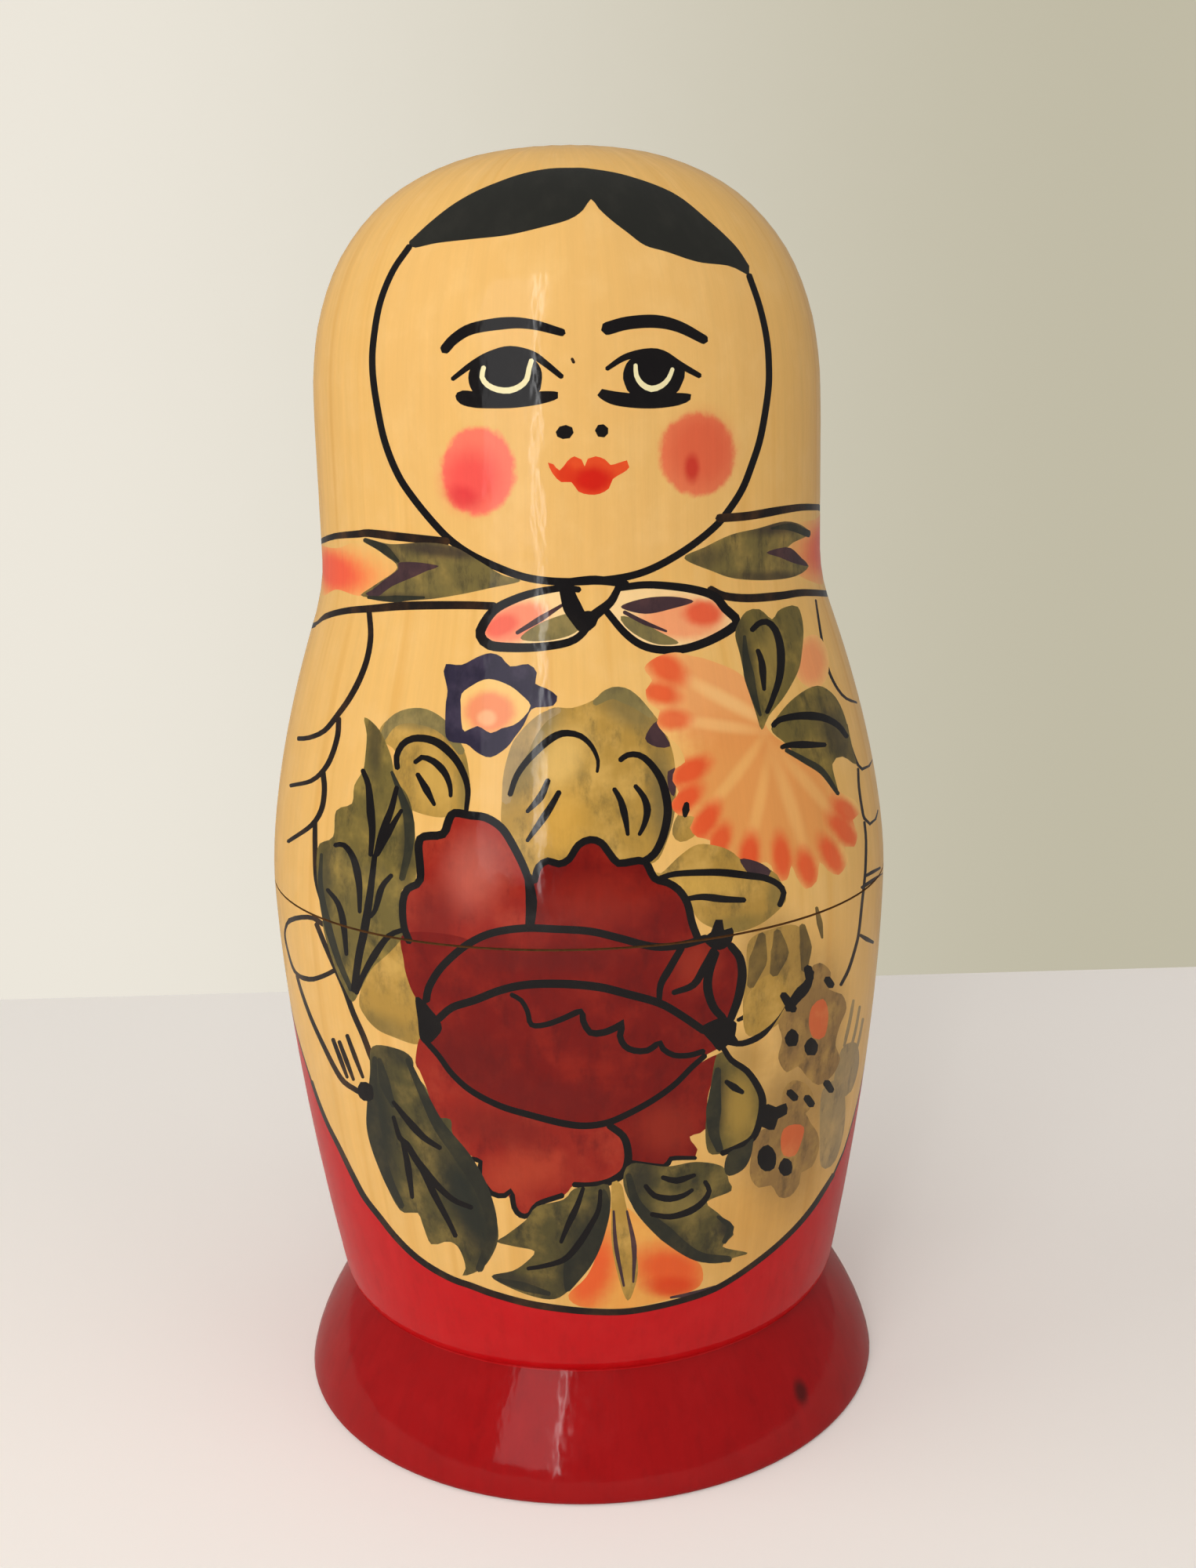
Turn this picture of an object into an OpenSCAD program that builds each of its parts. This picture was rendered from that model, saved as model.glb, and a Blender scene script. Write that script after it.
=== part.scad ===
// A set of seven turned wooden nesting dolls, the smallest one solid.
// Each hollow doll is a lower cup with a raised lip and an upper cap whose socket slides down over the lip.
// Millimetres, +Z up, origin at the middle of the largest doll's base.

/* [Outline of the largest doll] */
// Height from the base to the top of the head
doll_h = 179.5; // [160:0.5:220]
// Diameter at the seam, the widest place
belly_d = 90; // [82:0.5:104]
// Diameter of the head
head_d = 71; // [62:0.5:76]
// Diameter of the foot's rim
foot_d = 88; // [80:0.5:92]
// Diameter of the body just above the groove
waist_d = 75; // [70:0.5:80]
// Diameter at the bottom of the groove
groove_d = 72.5; // [66:0.5:74]
// Height of the groove between foot and body
groove_z = 16; // [12:0.5:22]
// Height of the seam between the halves
seam_z = 79.5; // [70:0.5:90]
// Height at which the shoulders meet the head
shoulder_z = 121; // [112:1:130]
// Height at which the crown begins to round over
crown_z = 144; // [136:1:152]
// Exponent of the belly's curve, where higher is fuller
belly_fullness = 1.65; // [1.3:0.05:2.2]
// Exponent of the crown's curve, where higher is squarer
crown_fullness = 2.45; // [2:0.05:3]
// Exponent of the foot's flare, where higher is rounder
foot_fullness = 1.55; // [1.2:0.05:2.5]
// Width over which the shoulders blend into the head
neck_blend = 1.5; // [0.5:0.1:3]
// Height of the body's rounded edge above the groove
body_edge_h = 2.5; // [1:0.1:4]
// Radius of the foot's lower edge
foot_edge = 1; // [0.5:0.1:2]
// Diameter of the hollow turned under the foot
dish_d = 74; // [50:1:78]
// Depth of the hollow turned under the foot
dish_h = 1; // [0.5:0.1:2]

/* [Walls of the largest doll] */
// Wall of the cup and of the cap
wall_t = 3; // [2.5:0.1:4]
// Wood above the cavity at the top of the head
crown_t = 8; // [5:0.5:12]
// Height of the cavity's floor above the groove
floor_rise = 3; // [1:0.5:8]
// How far the walls of a smaller doll thin with its size, from 0 for not at all to 1 for in proportion
wall_taper = 0.65; // [0.6:0.05:1]

/* [Joint between the halves] */
// Wall of the cap at the top of the socket, where it is thinnest
rim_t = 2.5; // [2:0.1:3.5]
// Wall of the lip
lip_t = 2.5; // [2:0.1:3.5]
// Height of the lip above the seam
lip_h = 11; // [7:0.5:15]
// Gap between lip and socket, on the radius
fit_gap = 0.1; // [0.05:0.01:0.2]
// Gap above the lip inside the socket
lip_head_gap = 0.5; // [0.3:0.1:1]
// Bevel on both edges of the seam and on the lip
seam_bevel = 0.15; // [0.1:0.05:0.5]

/* [Nesting] */
// Size of each doll as a share of the next larger one, where that fits inside
nest_step = 0.74; // [0.6:0.01:0.76]
// Least play round each doll inside the next larger one, on the radius
side_play = 0.6; // [0.4:0.1:1]
// Least play above the head of each doll inside the next larger one
head_play = 1; // [0.5:0.1:3]

/* [Hidden] */

wood_yellow = "#E8B968";
paint_red = "#C3161E";

belly_r = belly_d / 2;
head_r = head_d / 2;
foot_r = foot_d / 2;
waist_r = waist_d / 2;
groove_r = groove_d / 2;
dish_r = dish_d / 2;
floor_z = groove_z + floor_rise;

// Straight stretches that stand for each curved part of the outline
foot_steps = 8;
edge_steps = 4;
body_steps = 14;
shoulder_steps = 18;
crown_steps = 16;

function steps(from, to, count) = [for (i = [0 : count]) from + (to - from) * i / count];

// The larger of two values, rounded off where they cross
function blend_max(a, b, width) =
    let (near = max(width - abs(a - b), 0) / width)
    max(a, b) + near * near * width / 4;

// How far a quarter round stands back, from 1 where it starts to 0 where it ends
function quarter_round(t) = 1 - sqrt(1 - pow(1 - min(max(t, 0), 1), 2));

// Outline radii of the largest doll at a height
function foot_curve(z, rim_r) =
    groove_r + (rim_r - groove_r) * (1 - pow(z / groove_z, foot_fullness))
    - foot_edge * quarter_round(z / foot_edge);
function body_curve(z) =
    belly_r - (belly_r - waist_r) * pow((seam_z - z) / (seam_z - groove_z), belly_fullness);
function body_with_edge(z) =
    body_curve(z) - (waist_r - groove_r) * quarter_round((z - groove_z) / body_edge_h);
function shoulder_curve(z) =
    belly_r - (belly_r - head_r) * pow((z - seam_z) / (shoulder_z - seam_z), belly_fullness);
function upper_curve(z) = blend_max(shoulder_curve(z), head_r, neck_blend);

// A rounded crown of the given radius that rises from crown_z to top_z, as [radius, height] points
function crown(radius, top_z) = [
    for (a = steps(0, 90, crown_steps))
        [radius * pow(max(cos(a), 0), 2 / crown_fullness),
         crown_z + (top_z - crown_z) * pow(sin(a), 2 / crown_fullness)]
];

foot_heights = concat(steps(0, foot_edge, edge_steps), steps(foot_edge * 2, groove_z, foot_steps));
edge_heights = steps(groove_z + body_edge_h / edge_steps, groove_z + body_edge_h, edge_steps - 1);
body_heights = steps(groove_z + body_edge_h * 2, seam_z, body_steps);
shoulder_end = shoulder_z + neck_blend * 3;
shoulder_rise = (shoulder_end - seam_z) / shoulder_steps;
shoulder_heights = steps(seam_z + shoulder_rise, shoulder_end, shoulder_steps - 1);

function foot_outline(rim_r) = [for (z = foot_heights) [foot_curve(z, rim_r), z]];
body_outline = [for (z = concat(edge_heights, body_heights)) [body_with_edge(z), z]];
upper_outline = concat([for (z = shoulder_heights) [upper_curve(z), z]], crown(head_r, doll_h));

// A doll of size s, as a share of the largest one's outline, has this share of its walls and gaps
function slim(s) = pow(s, wall_taper);

// Heights and radii of the joint of a doll of size s, set by the outline at the top of the socket
function lip_top(s) = s * seam_z + lip_h * slim(s);
function socket_top(s) = lip_top(s) + lip_head_gap * slim(s);
function socket_r(s) = s * upper_curve(socket_top(s) / s) - rim_t * slim(s);
function lip_r(s) = socket_r(s) - fit_gap;
function bore_r(s) = lip_r(s) - lip_t * slim(s);

// Radius of its cavity where the largest doll's outline has the given radius
function cavity_r(s, outline_r) = min(s * outline_r - wall_t * slim(s), bore_r(s));

// Radius that a foot on its cavity's floor may have
function foot_room(s) = cavity_r(s, body_curve(floor_z)) - side_play * slim(s);

// Size of the doll inside it, limited by the cavity's floor, the lip's bore and the cavity's height
function fit_by_waist(s) = foot_room(s) / waist_r;
function fit_by_bore(s) = (bore_r(s) - side_play * slim(s)) / belly_r;
function fit_by_height(s) = (s * (doll_h - crown_t - floor_z) - head_play * slim(s)) / doll_h;
function next_size(s) = min(nest_step * s, fit_by_waist(s), fit_by_bore(s), fit_by_height(s));

// Sizes of the dolls, each one found from the last
doll_count = 7;
function nest(sizes) =
    len(sizes) == doll_count ? sizes
    : nest(concat(sizes, [next_size(sizes[len(sizes) - 1])]));
doll_sizes = nest([1]);

// Height of doll k's base, where 1 is the largest, as each stands on the floor of the next larger one
function base_z(k) = k == 1 ? 0 : base_z(k - 1) + doll_sizes[k - 2] * floor_z;

// Rim radius of doll k's foot at the largest doll's size, trimmed where the next larger one's cavity needs it
function rim_r(k) = k == 1 ? foot_r : min(foot_r, foot_room(doll_sizes[k - 2]) / doll_sizes[k - 1]);

// Cup of doll k: foot, body, lip and cavity
module bottom_half(k) {
    s = doll_sizes[k - 1];
    bevel = seam_bevel * slim(s);
    outside = [for (p = concat(foot_outline(rim_r(k)), body_outline)) if (p[1] < seam_z - seam_bevel) s * p];
    seam = [
        [s * belly_r, s * seam_z - bevel],
        [s * belly_r - bevel, s * seam_z],
        [lip_r(s), s * seam_z]
    ];
    lip = [
        [lip_r(s), lip_top(s) - bevel],
        [lip_r(s) - bevel, lip_top(s)],
        [bore_r(s), lip_top(s)]
    ];
    cavity = [
        for (i = [0 : body_steps - 1])
            let (z = seam_z + (floor_z - seam_z) * i / body_steps)
            [cavity_r(s, body_curve(z)), s * z]
    ];
    floor_corner = [
        [cavity_r(s, body_curve(floor_z)), s * floor_z],
        [0, s * floor_z]
    ];
    dish = [[0, s * dish_h], [s * dish_r, 0]];
    color(paint_red)
        translate([0, 0, base_z(k)])
            rotate_extrude()
                polygon(concat(outside, seam, lip, cavity, floor_corner, dish));
}

// Cap of doll k: shoulders, head and crown over a cavity that ends in the lip's socket
module top_half(k) {
    s = doll_sizes[k - 1];
    bevel = seam_bevel * slim(s);
    seam = [
        [socket_r(s), s * seam_z],
        [s * belly_r - bevel, s * seam_z],
        [s * belly_r, s * seam_z + bevel]
    ];
    outside = [for (p = upper_outline) if (p[1] > seam_z + seam_bevel) s * p];
    roof = crown(cavity_r(s, head_r) / s, doll_h - crown_t);
    under_roof = [for (i = [crown_steps : -1 : 0]) s * roof[i]];
    under_shoulders = [
        for (i = [shoulder_steps - 1 : -1 : 0])
            let (z = shoulder_heights[i])
            if (s * z > socket_top(s))
                [cavity_r(s, upper_curve(z)), s * z]
    ];
    socket = [[bore_r(s), socket_top(s)], [socket_r(s), socket_top(s)]];
    color(wood_yellow)
        translate([0, 0, base_z(k)])
            rotate_extrude()
                polygon(concat(seam, outside, under_roof, under_shoulders, socket));
}

// The innermost doll, turned from one piece
module smallest_doll(k) {
    s = doll_sizes[k - 1];
    outside = [for (p = concat(foot_outline(rim_r(k)), body_outline, upper_outline)) s * p];
    dish = [[0, s * dish_h], [s * dish_r, 0]];
    color(wood_yellow)
        translate([0, 0, base_z(k)])
            rotate_extrude()
                polygon(concat(outside, dish));
}

bottom_half(1);  // outer_bottom
top_half(1);  // outer_top
bottom_half(2);  // second_bottom
top_half(2);  // second_top
bottom_half(3);  // third_bottom
top_half(3);  // third_top
bottom_half(4);  // fourth_bottom
top_half(4);  // fourth_top
bottom_half(5);  // fifth_bottom
top_half(5);  // fifth_top
bottom_half(6);  // sixth_bottom
top_half(6);  // sixth_top
smallest_doll(doll_count);
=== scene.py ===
"""Dresses the turned dolls with their painting and varnish, in the frame of the solids.

The painting lies on one plane. Across it runs the angle round the axis, as arc at the belly, and up it runs the arc
length of the outline. The plane is cut along every painted edge, and each doll's outside is wrapped with it.
"""

import math

import bpy
import numpy as np
from mathutils import Matrix, Vector
from mathutils.geometry import delaunay_2d_cdt


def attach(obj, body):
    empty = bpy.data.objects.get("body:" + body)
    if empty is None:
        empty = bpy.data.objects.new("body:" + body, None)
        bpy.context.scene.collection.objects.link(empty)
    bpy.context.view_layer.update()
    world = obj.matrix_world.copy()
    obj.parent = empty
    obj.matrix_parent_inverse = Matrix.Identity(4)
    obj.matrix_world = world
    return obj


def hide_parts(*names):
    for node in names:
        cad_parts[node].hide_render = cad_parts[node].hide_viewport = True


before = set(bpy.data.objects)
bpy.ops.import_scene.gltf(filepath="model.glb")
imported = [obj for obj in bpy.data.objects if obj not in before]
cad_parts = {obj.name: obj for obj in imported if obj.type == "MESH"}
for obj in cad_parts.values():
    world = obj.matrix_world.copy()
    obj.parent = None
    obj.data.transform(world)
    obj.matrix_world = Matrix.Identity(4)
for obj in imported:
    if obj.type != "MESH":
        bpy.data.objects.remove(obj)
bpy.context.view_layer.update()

# Millimetres in a metre, the frame's unit
MM = 1000

# The photograph's camera, in pixels, millimetres and radians
FRAME_W, FRAME_H = 1526, 2000
FOCAL = 2200.0
CAMERA_AT = np.array([0.0, -249.65, 147.50])
PITCH, YAW, ROLL = 0.22522, -0.01215, -0.02342
# Depths before the camera between which a pixel's ray looks for the doll, tries between them, and halvings after
RAY_FROM, RAY_TO, RAY_TRIES, RAY_HALVINGS = 185, 285, 300, 24

# Radius at the belly, which sets the width of the painting's plane
BELLY_R = 45.0
HALF_TURN = math.pi * BELLY_R
# Height up to which the plane is cut at each ring of the outline, for the foot and the groove. The rings at height 0,
# on which the solid foot stands, get no cut, so the dressed foot ends 0.17 mm above them.
GROOVE_TOP = 19.5
# Arc length round the top of the head that a fan of faces closes
POLE_ARC = 1.2
# Steps from the middle of the hollow under a foot that stay bare. The painted skin starts there, inside the hollow.
BARE_STEPS = 2
# Rings are told apart on a grid of this pitch, which is moved off round numbers
RING_PITCH, RING_MOVE = 0.02, 0.00371
# Bends below this angle are shaded as smooth
SMOOTH_BEND = math.radians(32)
# Lengths in millimetres below which two levels are one, and which keep a division from failing
NOTHING, TINY = 1e-3, 1e-9
# Millimetres in one unit of the painting's map
MAP_UNIT = 100.0


def turn_axes(angle, first, second):
    """A matrix that turns one axis towards another."""
    matrix = np.eye(3)
    matrix[first, first] = matrix[second, second] = math.cos(angle)
    matrix[first, second], matrix[second, first] = -math.sin(angle), math.sin(angle)
    return matrix


# Right, forward and up of the camera as the columns of one matrix
AXES = turn_axes(YAW, 0, 1) @ turn_axes(-PITCH, 1, 2) @ turn_axes(ROLL, 0, 2)


# Outlines of the turned pieces

def walk_rings(node):
    """Radius and height, in millimetres, of each ring of a turned node, from its outer end on the axis inwards."""
    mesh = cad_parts[node].data
    at = np.empty(3 * len(mesh.vertices))
    mesh.vertices.foreach_get("co", at)
    at = at.reshape(-1, 3) * MM
    flat = np.stack([np.hypot(at[:, 0], at[:, 1]), at[:, 2]], 1)
    cells = np.round((flat + RING_MOVE) / RING_PITCH)
    _, first, ring = np.unique(cells, axis=0, return_index=True, return_inverse=True)
    ring = ring.reshape(-1)
    ends = np.empty(2 * len(mesh.edges), int)
    mesh.edges.foreach_get("vertices", ends)
    pairs = ring[ends.reshape(-1, 2)]
    beside = {i: set() for i in range(len(first))}
    for a, b in np.unique(pairs[pairs[:, 0] != pairs[:, 1]], axis=0):
        beside[int(a)].add(int(b))
        beside[int(b)].add(int(a))
    tips = [i for i in beside if len(beside[i]) == 1]
    here = (max if node.endswith("top") else min)(tips, key=lambda i: flat[first[i]][1])
    order, seen = [], set()
    while here is not None:
        order.append(here)
        seen.add(here)
        here = next((i for i in beside[here] if i not in seen), None)
    if len(order) != len(first):
        raise RuntimeError(f"{node}: {len(order)} of {len(first)} rings in the walk")
    return flat[first[order]]


class Skin:
    """A stretch of outline, as radius, height and normal along its share of the arc length."""

    def __init__(self, outline):
        self.r, self.z = outline[:, 0], outline[:, 1]
        step = np.hypot(np.diff(self.r), np.diff(self.z))
        self.arc = np.concatenate([[0], np.cumsum(step)])
        self.length = self.arc[-1]
        self.share = self.arc / self.length
        side = np.stack([np.diff(self.z), -np.diff(self.r)], 1) / step[:, None]
        bend = np.arccos(np.clip((side[1:] * side[:-1]).sum(1), -1, 1))
        mean = side[1:] + side[:-1]
        mean /= np.linalg.norm(mean, axis=1)[:, None]
        smooth = (bend < SMOOTH_BEND)[:, None]
        self.n_from = np.vstack([side[:1], np.where(smooth, mean, side[1:])])
        self.n_to = np.vstack([np.where(smooth, mean, side[:-1]), side[-1:]])

    def at(self, share):
        return np.interp(share, self.share, self.r), np.interp(share, self.share, self.z)

    def normal(self, share):
        i = np.clip(np.searchsorted(self.share, share, side="right") - 1, 0, len(self.share) - 2)
        t = np.clip((share - self.share[i]) / (self.share[i + 1] - self.share[i]), 0, 1)[:, None]
        n = self.n_from[i] * (1 - t) + self.n_to[i] * t
        return n / np.linalg.norm(n, axis=1)[:, None]


def split_cup(rings):
    """The bare middle under the foot, the painted outside, and the rim with the inside."""
    widest = int(np.argmax(rings[:, 0]))
    return rings[:BARE_STEPS + 1], rings[BARE_STEPS:widest + 1], rings[widest:]


def split_cap(rings):
    """The painted outside from the rim upwards, and the rim with the inside."""
    widest = int(np.argmax(rings[:, 0]))
    return rings[:widest + 1][::-1], rings[widest:]


cup_outside = split_cup(walk_rings("outer_bottom"))[1]
cap_outside = split_cap(walk_rings("outer_top"))[0]
whole_skin = Skin(np.vstack([cup_outside, cap_outside]))
# Levels on the plane: the cup's upper edge, the pole, the cap's lower edge and the ring just below the pole
V_LOW = Skin(cup_outside).length
V_POLE = whole_skin.length
V_HIGH = V_POLE - Skin(cap_outside).length
V_TOP = V_POLE - POLE_ARC


def v_of_height(z):
    return np.interp(z, whole_skin.z, whole_skin.arc)


# From the photograph's pixels to the painting's plane

def to_plane(pixels):
    """Where the rays of pixels first meet the doll, or pass nearest to it, on the painting's plane."""
    px = np.asarray(pixels, float).reshape(-1, 2)
    right, up = (px[:, 0] - FRAME_W / 2) / FOCAL, (FRAME_H / 2 - px[:, 1]) / FOCAL
    ray = np.stack([right, np.ones(len(px)), up], 1) @ AXES.T

    def gap(t):
        q = CAMERA_AT + ray * t[..., None]
        return np.hypot(q[..., 0], q[..., 1]) - np.interp(q[..., 2], whole_skin.z, whole_skin.r)

    ts = np.linspace(RAY_FROM, RAY_TO, RAY_TRIES)
    gaps = np.stack([gap(np.full(len(px), t)) for t in ts], 1)
    hit = gaps < 0
    first = np.where(hit.any(1), hit.argmax(1), gaps.argmin(1))
    far = ts[first]
    near = np.where(hit.any(1), ts[np.maximum(first - 1, 0)], far)
    for _ in range(RAY_HALVINGS):
        mid = (near + far) / 2
        inside = gap(mid) < 0
        far = np.where(inside, mid, far)
        near = np.where(inside, near, mid)
    q = CAMERA_AT + ray * far[:, None]
    return np.stack([np.arctan2(q[:, 0], -q[:, 1]) * BELLY_R, np.clip(v_of_height(q[:, 2]), 0, V_TOP)], 1)


def curve(points, closed, step):
    """A smooth curve through the points, sampled about every step."""
    p = np.asarray(points, float)
    if len(p) < 3:
        count = max(1, int(np.hypot(*(p[1] - p[0])) / step))
        return p[0] + (p[1] - p[0]) * np.linspace(0, 1, count + 1)[:, None]
    around = [p[-1], p, p[:2]] if closed else [2 * p[0] - p[1], p, 2 * p[-1] - p[-2]]
    knots = np.vstack(around)
    out = []
    for a, b, c, d in zip(knots, knots[1:], knots[2:], knots[3:]):
        count = max(1, int(round(np.hypot(*(c - b)) / step)))
        t = (np.arange(count) / count)[:, None]
        square, cube = 2 * a - 5 * b + 4 * c - d, 3 * b - a - 3 * c + d
        out.append(0.5 * (2 * b + (c - a) * t + square * t ** 2 + cube * t ** 3))
    if not closed:
        out.append(p[-1:])
    return np.vstack(out)


# Angles of the three points that round a stroke's tip
TIP_ANGLES = np.radians([60, 0, -60])


def ribbon(line, width):
    """The outline of a brush stroke along a line, with the width at its start, middle and end and rounded tips."""
    tangent = np.gradient(line, axis=0)
    tangent /= np.maximum(np.linalg.norm(tangent, axis=1), TINY)[:, None]
    side = np.stack([-tangent[:, 1], tangent[:, 0]], 1)
    run = np.concatenate([[0], np.cumsum(np.hypot(*np.diff(line, axis=0).T))])
    half = np.interp(run / run[-1], [0, 0.5, 1], width)[:, None] / 2

    def tip(i, sign):
        ways = [side[i] * math.sin(a) + sign * tangent[i] * math.cos(a) for a in TIP_ANGLES * sign]
        return [line[i] + half[i] * way for way in ways]

    return np.vstack([line + side * half, tip(-1, 1), (line - side * half)[::-1], tip(0, -1)])


# The painting. A point is a pixel "x,y", or "angle:height" in degrees and millimetres where the photograph doesn't
# see it. "|" ends one curve of a fill that is made of several.

def along(outline, first, last):
    """The points of an outline from one of them to another."""
    words = outline.split()
    return " ".join(words[words.index(first):words.index(last) + 1])


def backwards(outline):
    return " ".join(reversed(outline.split()))


FACE = """522,315 501,346 485,386 477,430 475,465 479,505 490,560 507,604 527,635 554,668 576,690 602,708 638,725
    669,736 700,741 735,742 779,739 814,732 845,719 881,697 912,672 929,652 947,624 960,591 971,555 980,500 981,465
    978,430 969,390 956,352"""
HAIR_TOP = """522,308 548,284 576,262 605,245 638,231 668,221 700,215 727,214 753,215 801,224 859,246 903,280
    938,313 956,339"""
HAIR_LOW = """956,352 949,348 929,339 890,334 850,321 823,313 801,297 779,280 764,266 754,254 744,268 726,280
    691,290 647,300 602,305 558,310 530,316 522,314"""
APRON = """398,1380 406,1404 418,1434 433,1464 450,1499 465,1527 485,1553 505,1578 527,1600 550,1617 578,1632
    601,1640 628,1650 671,1662 713,1669 756,1673 798,1673 841,1666 883,1655 912,1644 935,1631 961,1613 990,1590
    1016,1565 1036,1541 1050,1520 1063,1499"""
LEAF_LEFT = """466,687 498,694 541,692 578,697 612,716 640,733 664,741 626,750 583,759 541,765 498,766 473,762
    460,759 480,745 507,724 488,706"""
LEAF_LEFT_NOTCH = "466,757 480,762 500,748 530,735 545,728 560,722 530,717 508,718 508,726 490,740 475,752"
LEAF_RIGHT = """873,712 899,698 933,682 967,674 1001,665 1023,670 1033,681 1012,692 1005,698 1020,710 1032,722
    1015,735 981,740 938,738 910,729"""
LEAF_RIGHT_NOTCH = "978,705 995,699 1009,699 1023,712 1031,722 1012,718 995,711"
BOW_LEFT = "717,750 682,756 655,765 631,778 616,798 613,811 625,823 655,826 691,825 726,819 744,807 753,789 738,772"
BOW_RIGHT = "788,750 823,746 859,748 890,753 912,761 925,776 938,792 912,814 876,827 845,829 819,823 797,807 775,781"
SERRATED = """465,915 484,931 499,965 504,993 519,1013 527,1039 530,1073 530,1124 513,1135 514,1163 517,1189
    498,1214 475,1235 460,1262 450,1278 439,1260 427,1233 413,1187 411,1163 405,1127 404,1093 408,1076 425,1067
    429,1034 449,1025 452,1002 463,983 466,965 468,937"""
PETAL_LEFT = """580,1037 565,1064 541,1067 534,1078 536,1122 520,1134 514,1150 518,1190 522,1215 540,1240 600,1225
    640,1205 675,1200 675,1150 673,1120 655,1079 640,1056 620,1043 600,1040"""
PETAL_RIGHT = """682,1123 687,1106 699,1098 713,1102 726,1096 738,1078 753,1071 767,1075 778,1089 789,1101 806,1099
    823,1099 835,1120 852,1126 866,1135 877,1152 883,1177 890,1200 860,1212 800,1206 740,1200 676,1198 674,1150"""
HEART = """533,1300 536,1280 547,1260 559,1239 577,1220 599,1203 628,1190 667,1184 707,1185 753,1188 792,1197
    821,1205 843,1208 872,1205 900,1197 925,1194 938,1210 947,1244 942,1273 935,1298 935,1325 899,1347 883,1361
    860,1384 832,1404 801,1421 775,1432 747,1436 719,1433 679,1423 639,1411 602,1392 577,1370 560,1347 545,1330"""
PETAL_LOW_LEFT = """535,1325 545,1330 560,1347 602,1392 680,1424 747,1436 778,1437 796,1452 801,1470 797,1488
    780,1503 753,1512 733,1511 719,1525 686,1535 668,1552 655,1545 648,1524 627,1522 612,1498 613,1482 595,1470
    577,1447 574,1430 555,1424 550,1412 545,1390 535,1365 530,1355"""
PETAL_LOW_RIGHT = """778,1437 832,1406 883,1363 918,1345 912,1370 903,1400 900,1440 880,1450 890,1466 887,1476
    855,1477 848,1487 806,1481 802,1462 795,1448"""
LEAF_LOW_LEFT = """475,1335 508,1338 526,1350 529,1368 545,1390 550,1414 556,1425 575,1428 578,1448 601,1482
    612,1499 627,1527 634,1556 635,1584 621,1612 604,1624 590,1627 594,1618 591,1604 584,1590 575,1584 567,1584
    550,1587 539,1561 533,1547 516,1547 505,1536 490,1505 476,1471 468,1440 468,1411 472,1370"""
LEAF_LOW_MIDDLE = """761,1513 776,1511 779,1538 770,1579 758,1607 742,1630 725,1647 708,1657 685,1655 654,1644
    627,1628 654,1621 671,1610 682,1596 657,1590 634,1584 645,1576 671,1556 685,1539 719,1530 733,1516"""
LEAF_LOW_RIGHT = """795,1505 804,1533 824,1556 849,1581 872,1598 897,1610 920,1611 937,1604 954,1598 922,1590
    936,1575 930,1561 916,1547 902,1533 933,1519 930,1507 922,1488 888,1482 850,1488 806,1484"""
BUD_LEAF = "781,1508 793,1511 798,1533 808,1579 814,1613 811,1638 801,1659 790,1632 781,1590 780,1547"
ROUND = "915,1345 935,1350 953,1366 967,1386 973,1404 970,1428 961,1451 944,1462 922,1471 904,1470 900,1440 905,1400"
HEM_LEFT = "-180:72 -165:72 -150:72 -125:70.6 -105:68.6 -92:66.2 -82:62.8 -74:58.8 -69:55.2"
HEM_RIGHT = "63.9:38.8 68:42.3 74:47.2 82:52.8 92:58.2 105:63.4 125:68.5 138:71 150:72 165:72 180:72"
RED_AREA = f"-180:0 | {HEM_LEFT} {APRON} {HEM_RIGHT} | 180:0"

# Each row is a paint, the widths in pixels of a brush stroke at its start, middle and end, or None for a fill, and the
# points

# Ground colours, face and hair
GROUND = [
    ("red", None, RED_AREA),
    ("foot", None, "-180:0 | -180:15.8 180:15.8 | 180:0"),
    ("face", None, FACE + " " + backwards(HAIR_TOP)),
    ("hair", None, HAIR_TOP + " | " + HAIR_LOW),
    ("ink", (8, 10, 8), FACE),
    ("ink", (5, 9, 9), along(FACE, "576,690", "779,739")),
    ("ink", (9, 9, 8), along(FACE, "735,742", "947,624")),
]
# Brows, eyes, nose and mouth
FEATURES = [
    ("ink", (13, 16, 10), "568,445 580,432 603,419 647,412 680,414 717,424"),
    ("ink", (17, 17, 12), "775,419 801,412 837,410 867,417 898,433"),
    ("ink", (6, 12, 7), "578,483 602,465 625,453 651,447 678,452 695,463 716,480"),
    ("ink", None, "598,476 608,460 630,452 655,449 678,456 690,470 691,488 684,504 650,510 612,506 600,494"),
    ("ink", None, "581,505 590,498 620,501 655,502 690,499 712,500 712,508 692,515 660,520 630,521 604,520 587,515"),
    ("eye", (6, 8, 6), "617,469 615,481 622,491 635,497 650,498 663,493 672,484 675,470 678,460"),
    ("ink", (6, 12, 7), "775,470 797,456 823,450 845,452 867,465 892,479"),
    ("ink", None, "795,476 803,459 823,453 845,455 862,464 874,474 870,490 860,504 832,510 806,504 797,490"),
    ("ink", None, "762,504 768,496 778,498 800,501 832,503 862,501 882,503 881,510 866,517 836,521 804,520 778,515"),
    ("eye", (5, 8, 5), "811,466 812,479 819,490 831,496 844,492 853,483 858,471"),
    ("ink_thin", (4, 5, 4), "730,458 732,462"),
    ("ink", None, "709,551 714,544 722,542 730,545 732,552 727,559 718,560 711,557"),
    ("ink", None, "759,549 763,542 770,541 776,546 776,553 771,558 763,557"),
    ("lip", None, """699,590 706,592 714,600 724,588 733,582 742,586 746,595 750,585 760,582 772,586 779,593
     790,590 800,587 803,596 795,603 782,611 777,623 765,630 752,631 738,627 729,615 716,615 705,604"""),
]
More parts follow.
